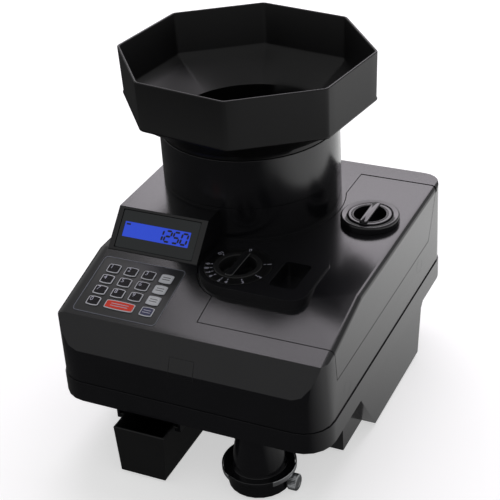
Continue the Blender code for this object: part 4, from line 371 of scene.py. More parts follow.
# Each finish: its name, colour, roughness and the rest of what finish_material takes
FINISHES = {
    # Injection-moulded ABS with a fine spark-eroded grain: near black, with a broad soft sheen
    "shell": ("ABS, moulded, fine grain", "shell_colour", 0.18, {"spread": 0.04}),
    # The hopper's moulding: the shells' black ABS painted darker, as shade, and duller
    "bowl": ("ABS, moulded, hopper", "#0e0e0f", 0.36, {"gleam": 0.32}),
    # Smoother moulding of the turning knob and bezel: narrow bright arcs
    "gloss": ("ABS, moulded, polished", "#17171a", 0.1, {"depth": 0.0, "spread": 0.03}),
    # Coarser moulding: no clear highlight
    "matt": ("ABS, moulded, matt", "#161617", 0.45, {}),
    # Printed washer: deeper black than the plastic round it
    "print_black": ("Polyester film, printed black", "#060607", 0.3, {"depth": 0.0}),
    # Printed film over the keypad: a dull charcoal with a slight orange peel
    "film": ("Polyester film, charcoal", "#2a2b2b", 0.4, {"grain": 0.8 * MM, "depth": 0.015}),
    # Rim of that film: a thin line of lighter grey that frames the keys
    "film_rim": ("Polyester film, rim", "#6b6f7a", 0.3, {"depth": 0.0}),
    # Number keys: nearly black, and barely shining, so that their figures stand out
    "key_face": ("Polyester film, dark key", "#17151a", 0.3, {"depth": 0.01, "gleam": 0.12}),
    # The light edge round each key, even and without shine
    "key_line": ("Screen print, light grey", "#e4e5ec", 0.45, {"depth": 0.0, "tint": 0.04}),
    # Three function keys: the brightest patches of the panel
    "key_grey": ("Polyester film, grey key", "#eceef2", 0.4, {"depth": 0.01, "tint": 0.03, "gleam": 0.2}),
    # The fourth function key: a muted blue-grey
    "key_blue": ("Polyester film, slate key", "#4f5270", 0.35, {"depth": 0.01, "gleam": 0.15}),
    # The wide key: the one warm colour on the panel
    "key_red": ("Polyester film, red key", "start_key_colour", 0.35,
                {"depth": 0.01, "tint": 0.06, "gleam": 0.15}),
    # Inks: flat and even, darker on light keys and pale on dark ground
    "ink": ("Screen print, grey ink", "#55575f", 0.5, {"depth": 0.0}),
    "figure": ("Screen print, pale ink", "#cfcfe0", 0.45, {"depth": 0.0, "tint": 0.03}),
    # Smoked acrylic in front of the display: dark grey-green with a mirror-like surface
    "window": ("Acrylic, smoked", "#22282a", 0.08, {"depth": 0.0, "spread": 0.02}),
    # The display's figures: nearly black against the lit glass
    "lcd_ink": ("Liquid crystal, dark segment", "#05070f", 0.3, {"depth": 0.0}),
    # Zinc plate on cold-rolled sheet: grey, softly bright
    "steel": ("Steel, cold rolled, zinc plated", "#b9bbbd", 0.32, {"metallic": 1.0, "grain": 0.3 * MM}),
    # Nickel plate: bright with sharp reflections
    "chrome": ("Steel, nickel plated", "#d9dadd", 0.14, {"metallic": 1.0, "depth": 0.0, "spread": 0.03}),
    # Turned brass: a warm yellow glint among the grey parts inside
    "brass": ("Brass, turned", "#c6a253", 0.25, {"metallic": 1.0, "depth": 0.0}),
    # Moulded rubber: deep black without a highlight
    "rubber": ("Neoprene rubber, moulded", "#141414", 0.7, {"grain": 0.5 * MM, "depth": 0.05}),
    # Filled nylon: plain mid grey with a dull surface
    "nylon": ("Nylon, glass filled, grey", "#4a4c50", 0.5, {}),
    # Lacquered board: green with a glassy surface
    "board": ("Epoxy glass board, green lacquer", "#1f5a35", 0.3, {"depth": 0.0}),
}


def finish(key):
    """The material of that key, made from its finish or from the settings on its first use."""
    settings = bpy.context.scene.coin_sorter
    if key == "lcd":
        name = "Liquid crystal display, backlit"
        made = bpy.data.materials.get(name)
        return made or lit_material(name, settings.display_colour, settings.display_glow)
    name, colour, roughness, more = FINISHES[key]
    if name in bpy.data.materials:
        return bpy.data.materials[name]
    colour = to_linear(colour) if colour.startswith("#") else tuple(getattr(settings, colour))
    return finish_material(name, colour, roughness, **more)


# Shapes: each is (points, faces) before it is given a place

def ring_grid(grid, closed=False):
    """Quads between points of rows by columns. Columns run round and meet. Rows close up or get two caps."""
    rows, columns = grid.shape[:2]
    index = np.arange(rows * columns).reshape(rows, columns)
    lower = index if closed else index[:-1]
    upper = np.roll(index, -1, axis=0) if closed else index[1:]
    quads = np.stack([lower, np.roll(lower, -1, axis=1), np.roll(upper, -1, axis=1), upper], axis=-1)
    faces = quads.reshape(-1, 4).tolist()
    if not closed:
        faces += [index[0, ::-1].tolist(), index[-1].tolist()]
    return grid.reshape(-1, 3), faces


def rounded(points, radius, steps=CORNER_STEPS, closed=True):
    """Softens each corner C of a path by a curve (1-s)^2 A + 2s(1-s) C + s^2 B.

    A and B lie before and after the corner, at the radius or at the most that an edge leaves for it.
    """
    points = np.asarray(points, float)
    radius = np.broadcast_to(radius, len(points))
    before = np.roll(points, 1, axis=0) - points
    after = np.roll(points, -1, axis=0) - points
    lengths = [np.linalg.norm(v, axis=1, keepdims=True) for v in (before, after)]
    reach = [np.minimum(radius[:, None], ROUND_SHARE * length) / np.maximum(length, MERGE)
             for length in lengths]
    start = points + before * reach[0]
    end = points + after * reach[1]
    s = np.linspace(0, 1, steps + 1)[None, :, None]
    curves = (1 - s) ** 2 * start[:, None] + 2 * s * (1 - s) * points[:, None] + s ** 2 * end[:, None]
    if closed:
        path = curves.reshape(-1, points.shape[1])
        return path[np.linalg.norm(path - np.roll(path, 1, axis=0), axis=1) > MERGE]
    return np.concatenate([points[:1], curves[1:-1].reshape(-1, points.shape[1]), points[-1:]])


def revolved(profile, steps=ROUND_STEPS, closed=False):
    """A profile of (radius, height) turned about Z: x = r cos t, y = r sin t, z = height."""
    profile = np.asarray(profile, float)
    turn = np.linspace(0, 2 * math.pi, steps, endpoint=False)
    r = profile[:, :1]
    height = np.broadcast_to(profile[:, 1:], (len(profile), steps))
    return ring_grid(np.stack([r * np.cos(turn), r * np.sin(turn), height], -1), closed)


def shrunk(outline, distance):
    """An outline moved inwards along the mean normal of the two edges that meet at each point."""
    edge = np.roll(outline, -1, axis=0) - outline
    edge = edge / np.maximum(np.linalg.norm(edge, axis=1, keepdims=True), LEAST_LENGTH)
    inward = np.stack([-edge[:, 1], edge[:, 0]], -1)
    mean = inward + np.roll(inward, 1, axis=0)
    mean = mean / np.maximum(np.linalg.norm(mean, axis=1, keepdims=True), LEAST_LENGTH)
    share = np.maximum((mean * inward).sum(1, keepdims=True), LEAST_MITRE)
    return outline + mean * distance / share


def level(outline, z):
    """An outline as points at one height."""
    return np.column_stack([outline, np.full(len(outline), z)])


def slab(outline, low, high, edge=0.0, steps=FEW_STEPS):
    """A plate whose top edge is a quarter circle: inset e (1 - cos t), rise e sin t."""
    rows = [level(outline, low)]
    if edge:
        for t in np.linspace(0, math.pi / 2, steps + 1):
            rows.append(level(shrunk(outline, edge * (1 - math.cos(t))), high - edge + edge * math.sin(t)))
    else:
        rows.append(level(outline, high))
    return ring_grid(np.array(rows))


def frame_band(outline, width, low, high):
    """A flat band round an outline: two outlines, each at two heights, joined into a closed loop."""
    inner = shrunk(outline, width)
    rows = [level(outline, low), level(outline, high), level(inner, high), level(inner, low)]
    return ring_grid(np.array(rows), closed=True)


def rectangle(left, right, front, rear, radius=0.0, steps=CORNER_STEPS):
    """A plate's outline or a ring's section, with its corners softened where a radius is given."""
    outline = np.array([(left, front), (right, front), (right, rear), (left, rear)])
    return rounded(outline, radius, steps) if radius else outline


def moved(shape, matrix):
    """A shape with its points put through a matrix."""
    points = shape[0] @ np.array(matrix.to_3x3()).T + np.array(matrix.translation)
    return points, shape[1]


# Height of the built-in font's figures as a share of its size
FONT_SHARE = 0.735


def lettering(text, height, matrix):
    """A plain figure as a thin closed solid, with its middle at the matrix's origin."""
    curve = bpy.data.curves.new("figure", "FONT")
    curve.body = text
    curve.size = height / FONT_SHARE
    curve.align_x = "CENTER"
    curve.align_y = "CENTER"
    curve.resolution_u = FEW_STEPS
    curve.extrude = LEGEND_THICKNESS
    holder = bpy.data.objects.new("figure", curve)
    mesh = bpy.data.meshes.new_from_object(holder)
    points = np.empty(len(mesh.vertices) * 3)
    mesh.vertices.foreach_get("co", points)
    faces = [tuple(face.vertices) for face in mesh.polygons]
    bpy.data.objects.remove(holder)
    bpy.data.curves.remove(curve)
    bpy.data.meshes.remove(mesh)
    return moved((points.reshape(-1, 3), faces), matrix)


# Pieces

def placed(name, data):
    """A new object in the scene that shows the data."""
    made = bpy.data.objects.new(name, data)
    bpy.context.scene.collection.objects.link(made)
    return made


def piece(name, body, parts, replaces=(), sharp=PIECE_SHARP):
    """One object from (shape, material) parts, with doubles merged and each closed part facing outwards."""
    mesh = bpy.data.meshes.new(name)
    points = np.concatenate([shape[0] for shape, _ in parts])
    keys = list(dict.fromkeys(key for _, key in parts))
    faces, owners, start = [], [], 0
    for shape, key in parts:
        faces += [[start + i for i in face] for face in shape[1]]
        owners += [keys.index(key)] * len(shape[1])
        start += len(shape[0])
    mesh.from_pydata(points.tolist(), [], faces)
    for key in keys:
        mesh.materials.append(finish(key))
    mesh.polygons.foreach_set("material_index", owners)
    bm = bmesh.new()
    bm.from_mesh(mesh)
    bmesh.ops.remove_doubles(bm, verts=bm.verts, dist=MERGE)
    bmesh.ops.recalc_face_normals(bm, faces=bm.faces)
    bm.to_mesh(mesh)
    bm.free()
    return settled(name, mesh, body, replaces, sharp)


def settled(name, mesh, body, replaces, sharp):
    """Links a mesh as a piece of the machine, smooth but for edges sharper than that many degrees."""
    made = placed(name, mesh)
    mesh.shade_smooth()
    mesh.set_sharp_from_angle(angle=math.radians(sharp))
    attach(made, body)
    if replaces:
        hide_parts(*replaces)
    return made


def moulded(name, source, body, key, edge):
    """A merged copy of a CAD node, with flat facets joined into convex faces and its edges rounded."""
    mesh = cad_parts[source].data.copy()
    mesh.materials.clear()
    mesh.materials.append(finish(key))
    bm = bmesh.new()
    bm.from_mesh(mesh)
    for layer in list(bm.loops.layers.uv):
        bm.loops.layers.uv.remove(layer)
    bmesh.ops.remove_doubles(bm, verts=bm.verts, dist=SHELL_MERGE)
    bmesh.ops.dissolve_limit(bm, angle_limit=FLAT_ANGLE, verts=bm.verts, edges=bm.edges)
    bmesh.ops.connect_verts_concave(bm, faces=bm.faces)
    bm.to_mesh(mesh)
    bm.free()
    mesh.polygons.foreach_set("material_index", [0] * len(mesh.polygons))
    made = settled(name, mesh, body, [source], SHELL_SHARP)
    bevel = made.modifiers.new("rounded edges", "BEVEL")
    bevel.width = edge
    bevel.segments = LEAST_STEPS
    bevel.limit_method = "ANGLE"
    bevel.angle_limit = math.radians(SHELL_SHARP)
    even = made.modifiers.new("even shading", "WEIGHTED_NORMAL")
    even.keep_sharp = True
    return made


# The mouldings that the frame already shapes: piece, CAD node, body and finish
MOULDINGS = (
    ("upper_shell", "upper_housing", "housing", "shell"),
    ("lower_shell", "lower_housing", "housing", "shell"),
    ("lid_shell", "access_lid", "lid", "shell"),
    ("neck_shell", "hopper_neck", "housing", "shell"),
    ("tray_shell", "reject_tray", "reject_tray", "matt"),
    ("tube_shell", "coin_tube", "housing", "shell"),
)


def make_shells(settings):
    """The six mouldings, with softened edges."""
    for name, source, body, key in MOULDINGS:
        moulded(name, source, body, key, settings.edge_radius)


def front_y(z):
    """How far forward the front is at a height: the wall, then the facet that leans back above it."""
    facet_top = TOP_Z - SLOPE_DROP
    lean = (FACET_TOP_Y - FRONT_Y) / (facet_top - FACET_BOTTOM_Z)
    return FRONT_Y + np.maximum(z - FACET_BOTTOM_Z, 0) * lean


def make_marks(settings):
    """The outline of a blank opening on the front, and two faint round marks on the right side."""
    half = BLANK_HALF_WIDTH
    outline = np.array([(-half, BLANK_BOTTOM_Z), (half, BLANK_BOTTOM_Z), (half, FACET_BOTTOM_Z),
                        (half, BLANK_TOP_Z), (-half, BLANK_TOP_Z), (-half, FACET_BOTTOM_Z)])
    points, faces = frame_band(outline, BLANK_LINE, -BLANK_LIFT, BLANK_LIFT)
    x, z, lift = points.T
    piece("front_blank_outline", "housing", [((np.column_stack([x, front_y(z) - lift, z]), faces), "matt")])
    section = rectangle(MARK_RADIUS - BLANK_LINE, MARK_RADIUS, -BLANK_LIFT, BLANK_LIFT / 2, BLANK_LIFT / 4,
                        LEAST_STEPS)
    ring = revolved(section, SMALL_STEPS, closed=True)
    turn = Matrix.Rotation(math.pi / 2, 4, "Y")
    for number, (y, z) in enumerate(MARK_PLACES, 1):
        place = Matrix.Translation((SIDE_X, y, z)) @ turn
        piece("side_mark_" + str(number), "housing", [(moved(ring, place), "shell")])


def octagon(shrink):
    """The bowl's outline with softened corners and seven points along each side, as (x, y)."""
    a = HOPPER_HALF_WIDTH - shrink
    b = HOPPER_HALF_DEPTH - shrink
    cut = shrink * math.tan(math.pi / HOPPER_SIDES)
    p = HOPPER_CORNER_X - cut
    q = HOPPER_CORNER_Y - cut
    corners = np.array([(p, -b), (a, -q), (a, q), (p, b), (-p, b), (-a, q), (-a, -q), (-p, -b)])
    curves = rounded(corners, HOPPER_CORNER_RADIUS).reshape(HOPPER_SIDES, -1, 2)
    rows = []
    for i, curve in enumerate(curves):
        end = curves[(i + 1) % HOPPER_SIDES, 0]
        share = np.linspace(0, 1, EDGE_STEPS + 1)[1:-1, None]
        rows += [curve, curve[-1] + (end - curve[-1]) * share]
    return np.concatenate(rows)


def hopper_rings():
    """Rings from the spigot up the outside and down the inside: (shrink, radius, roundness, z)."""
    seat = HOPPER_SEAT_Z
    radius = NECK_RADIUS - HOPPER_DRAFT
    lip = HOPPER_EDGE
    thick = HOPPER_WALL
    inner = SPIGOT_RADIUS - thick
    skirt = seat + HOPPER_SKIRT
    # Spigot, seat and skirt
    rings = [(0, SPIGOT_RADIUS, 1, seat - SPIGOT_LENGTH), (0, SPIGOT_RADIUS, 1, seat),
             (0, radius - lip, 1, seat), (0, radius, 1, seat + lip / 2), (0, radius, 1, skirt)]
    # The slope from neck to wall, and the bend between them
    rise = HOPPER_WALL_Z - skirt
    blend = np.linspace(0, 1, EDGE_STEPS)[1:]
    rings += [(2 * lip, radius, 1 - s, skirt + rise * s) for s in blend[:-1]]
    rings += [(HOPPER_DRAFT + 2 * lip * (1 - math.cos(t)), 0, 0, HOPPER_WALL_Z + 2 * lip * math.sin(t))
              for t in np.linspace(-math.pi / 3, math.pi / 2, CORNER_STEPS + 1)[:-1]]
    # Over the rim
    rim = HOPPER_RIM_Z
    fine = HOPPER_FINE_SHARE * lip
    rings += [(0, 0, 0, rim - lip), (fine, 0, 0, rim - fine), (lip, 0, 0, rim),
              (thick - lip, 0, 0, rim), (thick - fine, 0, 0, rim - fine), (thick, 0, 0, rim - lip)]
    # Down the inside to the spigot's end
    foot = HOPPER_WALL_Z + thick
    depth = HOPPER_DRAFT + thick
    rings += [(depth, 0, 0, foot + 3 * lip), (depth + lip, 0, 0, foot + lip)]
    rings += [(depth, inner, s, foot + (seat + thick - foot) * s) for s in blend]
    rings.append((0, inner, 1, seat - SPIGOT_LENGTH))
    return rings


def make_hopper(settings):
    """The bowl. Each ring is (1 - w) octagon + w circle: w is 1 at the neck and 0 at the wall."""
    outline = octagon(0)
    direction = outline / np.linalg.norm(outline, axis=1, keepdims=True)
    grid = np.array([level((1 - w) * octagon(shrink) + w * direction * radius, z)
                     for shrink, radius, w, z in hopper_rings()])
    place = Matrix.Translation((HOPPER_X, 0, 0)) @ Matrix.Rotation(HOPPER_YAW, 4, "Z")
    # The bowl's finish is the shells' black painted darker as shade
    piece("hopper_bowl", "hopper", [(moved(ring_grid(grid, closed=True), place), "bowl")],
          ["hopper"], BOWL_SHARP)


def cup_profile(radius, cup, top, bottom):
    """Half the section of a knob with a sunk cup: floor, cup wall, rim, outer wall and the shaft below."""
    floor = top - CUP_DEPTH
    low = floor - KNOB_FLOOR
    path = [(0, floor), (cup - CUP_DRAFT, floor), (cup, top), (radius, top), (radius, low),
            (SHAFT_RADIUS, low), (SHAFT_RADIUS, bottom), (0, bottom)]
    fine = FINE_EDGE
    return rounded(path, [0, CUP_FILLET, KNOB_EDGE, KNOB_EDGE, fine, fine, fine, 0], closed=False)


def grip(reach, low, high):
    """A finger bar. Its sides flare towards the foot by the square of the depth, and its top is rounded."""
    half = GRIP_WIDTH / 2
    outline = rectangle(-half, half, -reach, reach, half * GRIP_ROUND_SHARE, 2 * FEW_STEPS)
    brow = high - GRIP_ROUND
    levels = [(-GRIP_FLARE * s * s, brow - (brow - low) * s) for s in np.linspace(1, 0, CORNER_STEPS + 1)]
    levels += [(GRIP_ROUND * (1 - math.cos(t)), brow + GRIP_ROUND * math.sin(t))
               for t in np.linspace(0, math.pi / 2, FEW_STEPS + 1)[1:]]
    rows = [level(outline * ((half - inset) / half, (reach - max(inset, 0)) / reach), z)
            for inset, z in levels]
    return ring_grid(np.array(rows))


def cup_and_grip(name, cup):
    """The two closed shapes of a knob, with the height of its cup's rim."""
    low, high = heights(name)
    top = high - GRIP_RISE
    radius = half_width(name)
    at = upright_at(name)
    bowl = revolved(cup_profile(radius, cup, top, low))
    bar = grip(radius - GRIP_END, top - CUP_DEPTH - FINE_EDGE, high)
    return moved(bowl, at), moved(bar, at), top


def make_thickness_dial(settings):
    """The dial, and the printed ring round it with ticks and plain figures."""
    bowl, bar, _ = cup_and_grip("thickness_dial", DIAL_CUP_RADIUS)
    piece("thickness_dial_knob", "thickness_dial", [(bowl, "matt"), (bar, "gloss")],
          ["thickness_dial"])
    low, high = heights("thickness_scale")
    outer = half_width("thickness_scale")
    inner = half_width("thickness_dial") + KNOB_GAP
    at = upright_at("thickness_scale")
    path = rectangle(inner, outer, low, high, FINE_EDGE, LEAST_STEPS)
    parts = [(moved(revolved(path, closed=True), at), "print_black")]
    start = inner + TICK_START
    tick = slab(rectangle(start, start + TICK_LENGTH, -TICK_WIDTH / 2, TICK_WIDTH / 2), high - PRINT_LIFT,
                high + PRINT_LIFT)
    for angle, text in SCALE_MARKS:
        turn = at @ Matrix.Rotation(math.radians(angle), 4, "Z")
        parts.append((moved(tick, turn), "figure"))
        reach = outer - FIGURE_SHARE * settings.figure_height
        face = turn @ Matrix.Translation((reach, 0, high + PRINT_LIFT / 2))
        figure = lettering(text, settings.figure_height, face @ Matrix.Rotation(math.pi / 2, 4, "Z"))
        parts.append((figure, "figure"))
    piece("thickness_scale_ring", "lid", parts, ["thickness_scale"])


def make_size_knob(settings):
    """The knob with a fine ring round its cup, and the polished bezel with a sloping edge."""
    bowl, bar, top = cup_and_grip("size_knob", KNOB_CUP_RADIUS)
    start = KNOB_CUP_RADIUS + KNOB_RING_START
    end = start + KNOB_RING_WIDTH
    sink = KNOB_RING_SINK
    ring = revolved(rectangle(start, end, top - sink, top + sink, sink / 2, LEAST_STEPS), closed=True)
    parts = [(bowl, "gloss"), (moved(ring, upright_at("size_knob")), "matt"), (bar, "gloss")]
    piece("size_knob_cup", "size_knob", parts, ["size_knob"])
    low, high = heights("size_knob_bezel")
    outer = half_width("size_knob_bezel")
    inner = half_width("size_knob") + KNOB_GAP
    drop = BEZEL_SLOPE_DROP
    path = rounded([(inner, low), (outer, low), (outer, high - drop), (outer - BEZEL_SLOPE_WIDTH, high),
                    (inner + BEZEL_SLOPE_WIDTH, high - drop / 2), (inner, high - drop)], BEZEL_ROUND)
    bezel = moved(revolved(path, closed=True), upright_at("size_knob_bezel"))
    piece("size_bezel_ring", "lid", [(bezel, "gloss")], ["size_knob_bezel"])


# Seven-segment figures: each bar's ends as shares of the figure's width and height
SEGMENT_SHARES = {
    "a": ((0, 1), (1, 1)), "b": ((1, 1), (1, 0.5)), "c": ((1, 0.5), (1, 0)), "d": ((0, 0), (1, 0)),
    "e": ((0, 0.5), (0, 0)), "f": ((0, 1), (0, 0.5)), "g": ((0, 0.5), (1, 0.5)),
}
LIT = {"0": "abcdef", "1": "bc", "2": "abged", "3": "abgcd", "4": "fgbc", "5": "afgcd", "6": "afgedc",
       "7": "abc", "8": "abcdefg", "9": "abcdfg"}


def segment(start, end):
    """One bar of a seven-segment figure: a hexagon along the line between its ends, pulled in at both."""
    start, end = (np.array(p) * (DIGIT_WIDTH, DIGIT_HEIGHT) for p in (start, end))
    along = (end - start) / np.linalg.norm(end - start)
    side = np.array([-along[1], along[0]]) * DIGIT_STROKE / 2
    nose = along * DIGIT_STROKE / 2
    gap = nose / 3
    start, end = start + gap, end - gap
    outline = np.array([start, start + nose - side, end - nose - side, end, end - nose + side,
                        start + nose + side])
    outline[:, 0] += outline[:, 1] * DIGIT_LEAN
    return outline


def make_display(settings):
    """The smoked window with a clear field, and the lit glass in it with its dark seven-segment count."""
    start = (math.hypot(DISPLAY_RUN, DISPLAY_RISE) - WINDOW_LENGTH) / 2
    outline = rectangle(WINDOW_LEFT_X, WINDOW_RIGHT_X, start, start + WINDOW_LENGTH, WINDOW_CORNER)
    field = rectangle(LCD_LEFT_X, LCD_RIGHT_X, LCD_RISE, LCD_RISE + LCD_LENGTH, WINDOW_CORNER / 4)
    top = -WINDOW_SINK
    low = top - WINDOW_THICKNESS
    rows = [level(outline, low), level(outline, top - FINE_EDGE), level(shrunk(outline, FINE_EDGE), top),
            level(field, top), level(field, low)]
    window = ring_grid(np.array(rows), closed=True)
    piece("display_pane", "housing", [(moved(window, DISPLAY), "window")], ["display_window"])
    face = top - LCD_SINK
    parts = [(moved(slab(shrunk(field, PRINT_LIFT), low, face), DISPLAY), "lcd")]
    left = LCD_RIGHT_X - DIGIT_MARGIN - DIGIT_PITCH * (len(settings.count) - 1) - DIGIT_WIDTH
    rise = LCD_RISE + (LCD_LENGTH - DIGIT_HEIGHT) / 2
    outlines = [segment(*SEGMENT_SHARES[name]) + (left + i * DIGIT_PITCH, rise)
                for i, figure in enumerate(settings.count) for name in LIT[figure]]
    sign_left = LCD_LEFT_X + SIGN_LENGTH
    sign_top = LCD_RISE + LCD_LENGTH - SIGN_LENGTH
    outlines.append(rectangle(sign_left, sign_left + SIGN_WIDTH, sign_top - SIGN_LENGTH, sign_top))
    parts += [(moved(slab(bar, face - PRINT_LIFT, face + PRINT_LIFT), DISPLAY), "lcd_ink")
              for bar in outlines]
    piece("display_glass", "housing", parts)


def make_keypad(settings):
    """The printed film that laps over the edge of the panel's recess, with a raised rim round it."""
    left = corner("keypad_panel")[0] - PANEL_MARGIN
    right = corner("keypad_panel", True)[0] + PANEL_MARGIN
    front = -PANEL_START - PANEL_LENGTH - PANEL_MARGIN
    outline = rectangle(left, right, front, -PANEL_START + PANEL_MARGIN / 2, PANEL_CORNER, EDGE_STEPS)
    top = PANEL_RISE
    sheet = slab(shrunk(outline, PANEL_LINE), top - PANEL_THICKNESS, top, PRINT_LIFT, LEAST_STEPS)
    rim = frame_band(outline, PANEL_LINE, top - PANEL_THICKNESS, top + PANEL_LINE_RISE)
    piece("keypad_film", "housing", [(moved(sheet, SLOPE), "film"), (moved(rim, SLOPE), "film_rim")],
          ["keypad_panel"])


def barrel(width, length, bow):
    """A key's outline: sides straight, front and rear bowed out by bow (1 - (2x / width) ** 2)."""
    x = np.linspace(-width / 2, width / 2, EDGE_STEPS + 1)
    y = length / 2 - bow * (2 * x / width) ** 2
    outline = np.concatenate([np.column_stack([x, -y]), np.column_stack([x[::-1], y[::-1]])])
    ends = (0, len(x) - 1, len(x), 2 * len(x) - 1)
    return rounded(outline, [KEY_CORNER if i in ends else 0 for i in range(len(outline))], FEW_STEPS)


def key_finish(name):
    """The face's finish, the ink on it and its colour slot."""
    if name == "key_start":
        return "key_red", "figure", "key_red"
    if name == "key_function_4":
        return "key_blue", "figure", "key_blue"
    if "function" in name:
        return "key_grey", "ink", "key_grey"
    return "key_face", "figure", "key_black"


def key_legend(name, width, at, key, height):
    """A plain figure at the top left of a number key, or two plain bars on another key."""
    if name[-1].isdigit() and "function" not in name:
        across, along = KEY_FIGURE_SHARES
        spot = at @ Matrix.Translation((-across * width, along * KEY_LENGTH, KEY_TOP + PRINT_LIFT / 2))
        return [(lettering(name[-1], height, spot), key)]
    bars = []
    for side in (-1, 1):
        y = side * KEY_BAR_PITCH
        reach = KEY_BAR_SHARE * width
        bar = rectangle(-reach, reach, y - KEY_BAR_WIDTH, y + KEY_BAR_WIDTH, KEY_BAR_WIDTH, LEAST_STEPS)
        bars.append((moved(slab(bar, KEY_TOP - PRINT_LIFT, KEY_TOP + PRINT_LIFT), at), key))
    return bars


def make_keys(settings):
    """Fifteen keys: a bowed plate with a light printed edge, a darker face and a plain figure or bars."""
    for name in [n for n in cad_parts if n.startswith("key_")]:
        face, ink, slot = key_finish(name)
        width = 2 * half_width(name)
        _, high_y, high_z = corner(name, True)
        rear = SLOPE.inverted() @ Vector((0, high_y, high_z))
        at = SLOPE @ Matrix.Translation((middle(name)[0], rear.y - KEY_LENGTH / 2, 0))
        outline = barrel(width, KEY_LENGTH, KEY_BOW)
        plate = slab(outline, KEY_LOW, KEY_TOP - 2 * PRINT_LIFT, KEY_EDGE)
        field = slab(shrunk(outline, settings.key_line), KEY_LOW, KEY_TOP, KEY_EDGE / 2, LEAST_STEPS)
        stem = revolved([(0, KEY_STEM_BOTTOM), (KEY_STEM_RADIUS, KEY_STEM_BOTTOM),
                         (KEY_STEM_RADIUS, KEY_LOW + KEY_EDGE), (0, KEY_LOW + KEY_EDGE)], KEY_STEM_STEPS)
        parts = [(moved(plate, at), "key_line"), (moved(field, at), face), (moved(stem, at), "matt")]
        parts += key_legend(name, width, at, ink, settings.key_figure)
        piece(name + "_cap", name, parts, [name], KEY_SHARP)


def make_clamp_band(settings):
    """The bright open band that clamps a bag: a rounded section swept along an arc round the outlet."""
    low, high = heights("bag_clamp_ring")
    outer = corner("bag_clamp_ring", True)[0] - OUTLET_X
    inner = outer - BAND_THICKNESS
    section = rectangle(inner, outer, low, high, BAND_THICKNESS / 3)
    r, z = section.T
    grid = np.stack([np.column_stack([r * math.cos(t), r * math.sin(t), z])
                     for t in np.linspace(BAND_START, BAND_END, BAND_STEPS)])
    shape = moved(ring_grid(grid), Matrix.Translation((OUTLET_X, OUTLET_Y, 0)))
    piece("bag_clamp_band", "bag_clamp_ring", [(shape, "chrome")], ["bag_clamp_ring"])


def make_thumbscrew(settings):
    """The knurled screw: its rim's radius is r - d (1 - cos nt) / 2, for n flutes of depth d."""
    low, high = corner("thumbscrew"), corner("thumbscrew", True)
    radius = (high[2] - low[2]) / 2
    length = high[0] - THUMB_FACE_X
    neck = radius - THUMB_EDGE
    profile = rounded([(THUMB_SHANK_RADIUS, -THUMB_SHANK_LENGTH), (THUMB_SHANK_RADIUS, 0), (neck, 0),
                       (radius, THUMB_EDGE), (radius, length - THUMB_EDGE), (neck, length),
                       (radius / 2, length), (radius / 2 - THUMB_HOLLOW, length - THUMB_HOLLOW)],
                      THUMB_HOLLOW, FEW_STEPS, False)
    turn = np.linspace(0, 2 * math.pi, THUMB_STEPS, endpoint=False)
    flute = THUMB_FLUTE_DEPTH * (1 - np.cos(turn * THUMB_FLUTES)) / 2
    r = profile[:, :1] - np.where(profile[:, :1] > neck, flute, 0)
    grid = np.stack([np.broadcast_to(profile[:, 1:], r.shape), r * np.cos(turn), r * np.sin(turn)], -1)
    place = Matrix.Translation((THUMB_FACE_X, OUTLET_Y, (low[2] + high[2]) / 2))
    head = moved(ring_grid(grid), place)
    piece("thumbscrew_head", "thumbscrew", [(head, "steel")], ["thumbscrew"])


def make_feed_disc(settings):
    """The disc with a hub, a shallow dish inside a raised rim, and its studs."""
    radius = half_width("coin_disc")
    low, high = heights("coin_disc")
    top = DISC_TOP_Z
    dish = top - DISC_DISH
    profile = rounded([(0, top + DISC_HUB_HEIGHT), (DISC_HUB_RADIUS / 2, top + DISC_HUB_HEIGHT),
                       (DISC_HUB_RADIUS, top), (2 * DISC_HUB_RADIUS, dish), (radius - DISC_RIM, dish),
                       (radius - DISC_RIM + DISC_DISH, top), (radius, top), (radius, low), (0, low)],
                      DISC_DISH, FEW_STEPS, False)
    at = upright_at("coin_disc")
    parts = [(moved(revolved(profile), at), "nylon")]
    foot = dish - DISC_DISH
    section = rounded([(0, high), (STUD_RADIUS, high), (STUD_RADIUS, foot), (0, foot)],
                      [0, STUD_RADIUS / 4, 0, 0], FEW_STEPS, False)
    stud = revolved(section, SMALL_STEPS)
    for i in range(STUD_COUNT):
        turn = Matrix.Rotation(2 * math.pi * i / STUD_COUNT, 4, "Z")
        parts.append((moved(stud, at @ turn @ Matrix.Translation((radius * STUD_SHARE, 0, 0))), "steel"))
    piece("feed_disc_plate", "feed_disc", parts, ["coin_disc"])


def make_feet(settings):
    """Four rubber feet, narrower at the floor and hollowed underneath."""
    for name in [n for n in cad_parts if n.startswith("rubber_foot")]:
        low, high = heights(name)
        radius = half_width(name)
        profile = rounded([(0, high), (radius, high), (radius - FOOT_TAPER, low), (radius / 2, low),
                           (radius / 2 - FOOT_HOLLOW, low + FOOT_HOLLOW), (0, low + FOOT_HOLLOW)],
                          FOOT_HOLLOW, FEW_STEPS, False)
        shape = moved(revolved(profile, SMALL_STEPS), upright_at(name))
        piece(name + "_pad", "housing", [(shape, "rubber")], [name])


def make_power_entry(settings):
    """The mains inlet and its rocker, from the frame's solids with softened edges."""
    moulded("power_inlet_shell", "power_inlet", "housing", "matt", FINE_EDGE)
    moulded("power_rocker", "power_switch", "power_switch", "gloss", FINE_EDGE)


# The CAD nodes that stay as they are, by finish
CARRIED = {
    "steel": ("bottom_plate", "chassis_plate", "coin_deck", "disc_shaft", "drive_motor", "coin_rail",
              "feed_motor", "reject_flap", "gate_solenoid", "solenoid_plunger", "transformer",
              "lid_hinge_rod", "thickness_gauge", "size_gate"),
    "brass": ("motor_pulley",),
    "rubber": ("drive_belt", "feed_belt"),
    "nylon": ("feed_roller_rear", "feed_roller_front", "reject_chute"),
    "matt": ("coin_sensor", "lcd_module"),
    "board": ("control_board",),
}


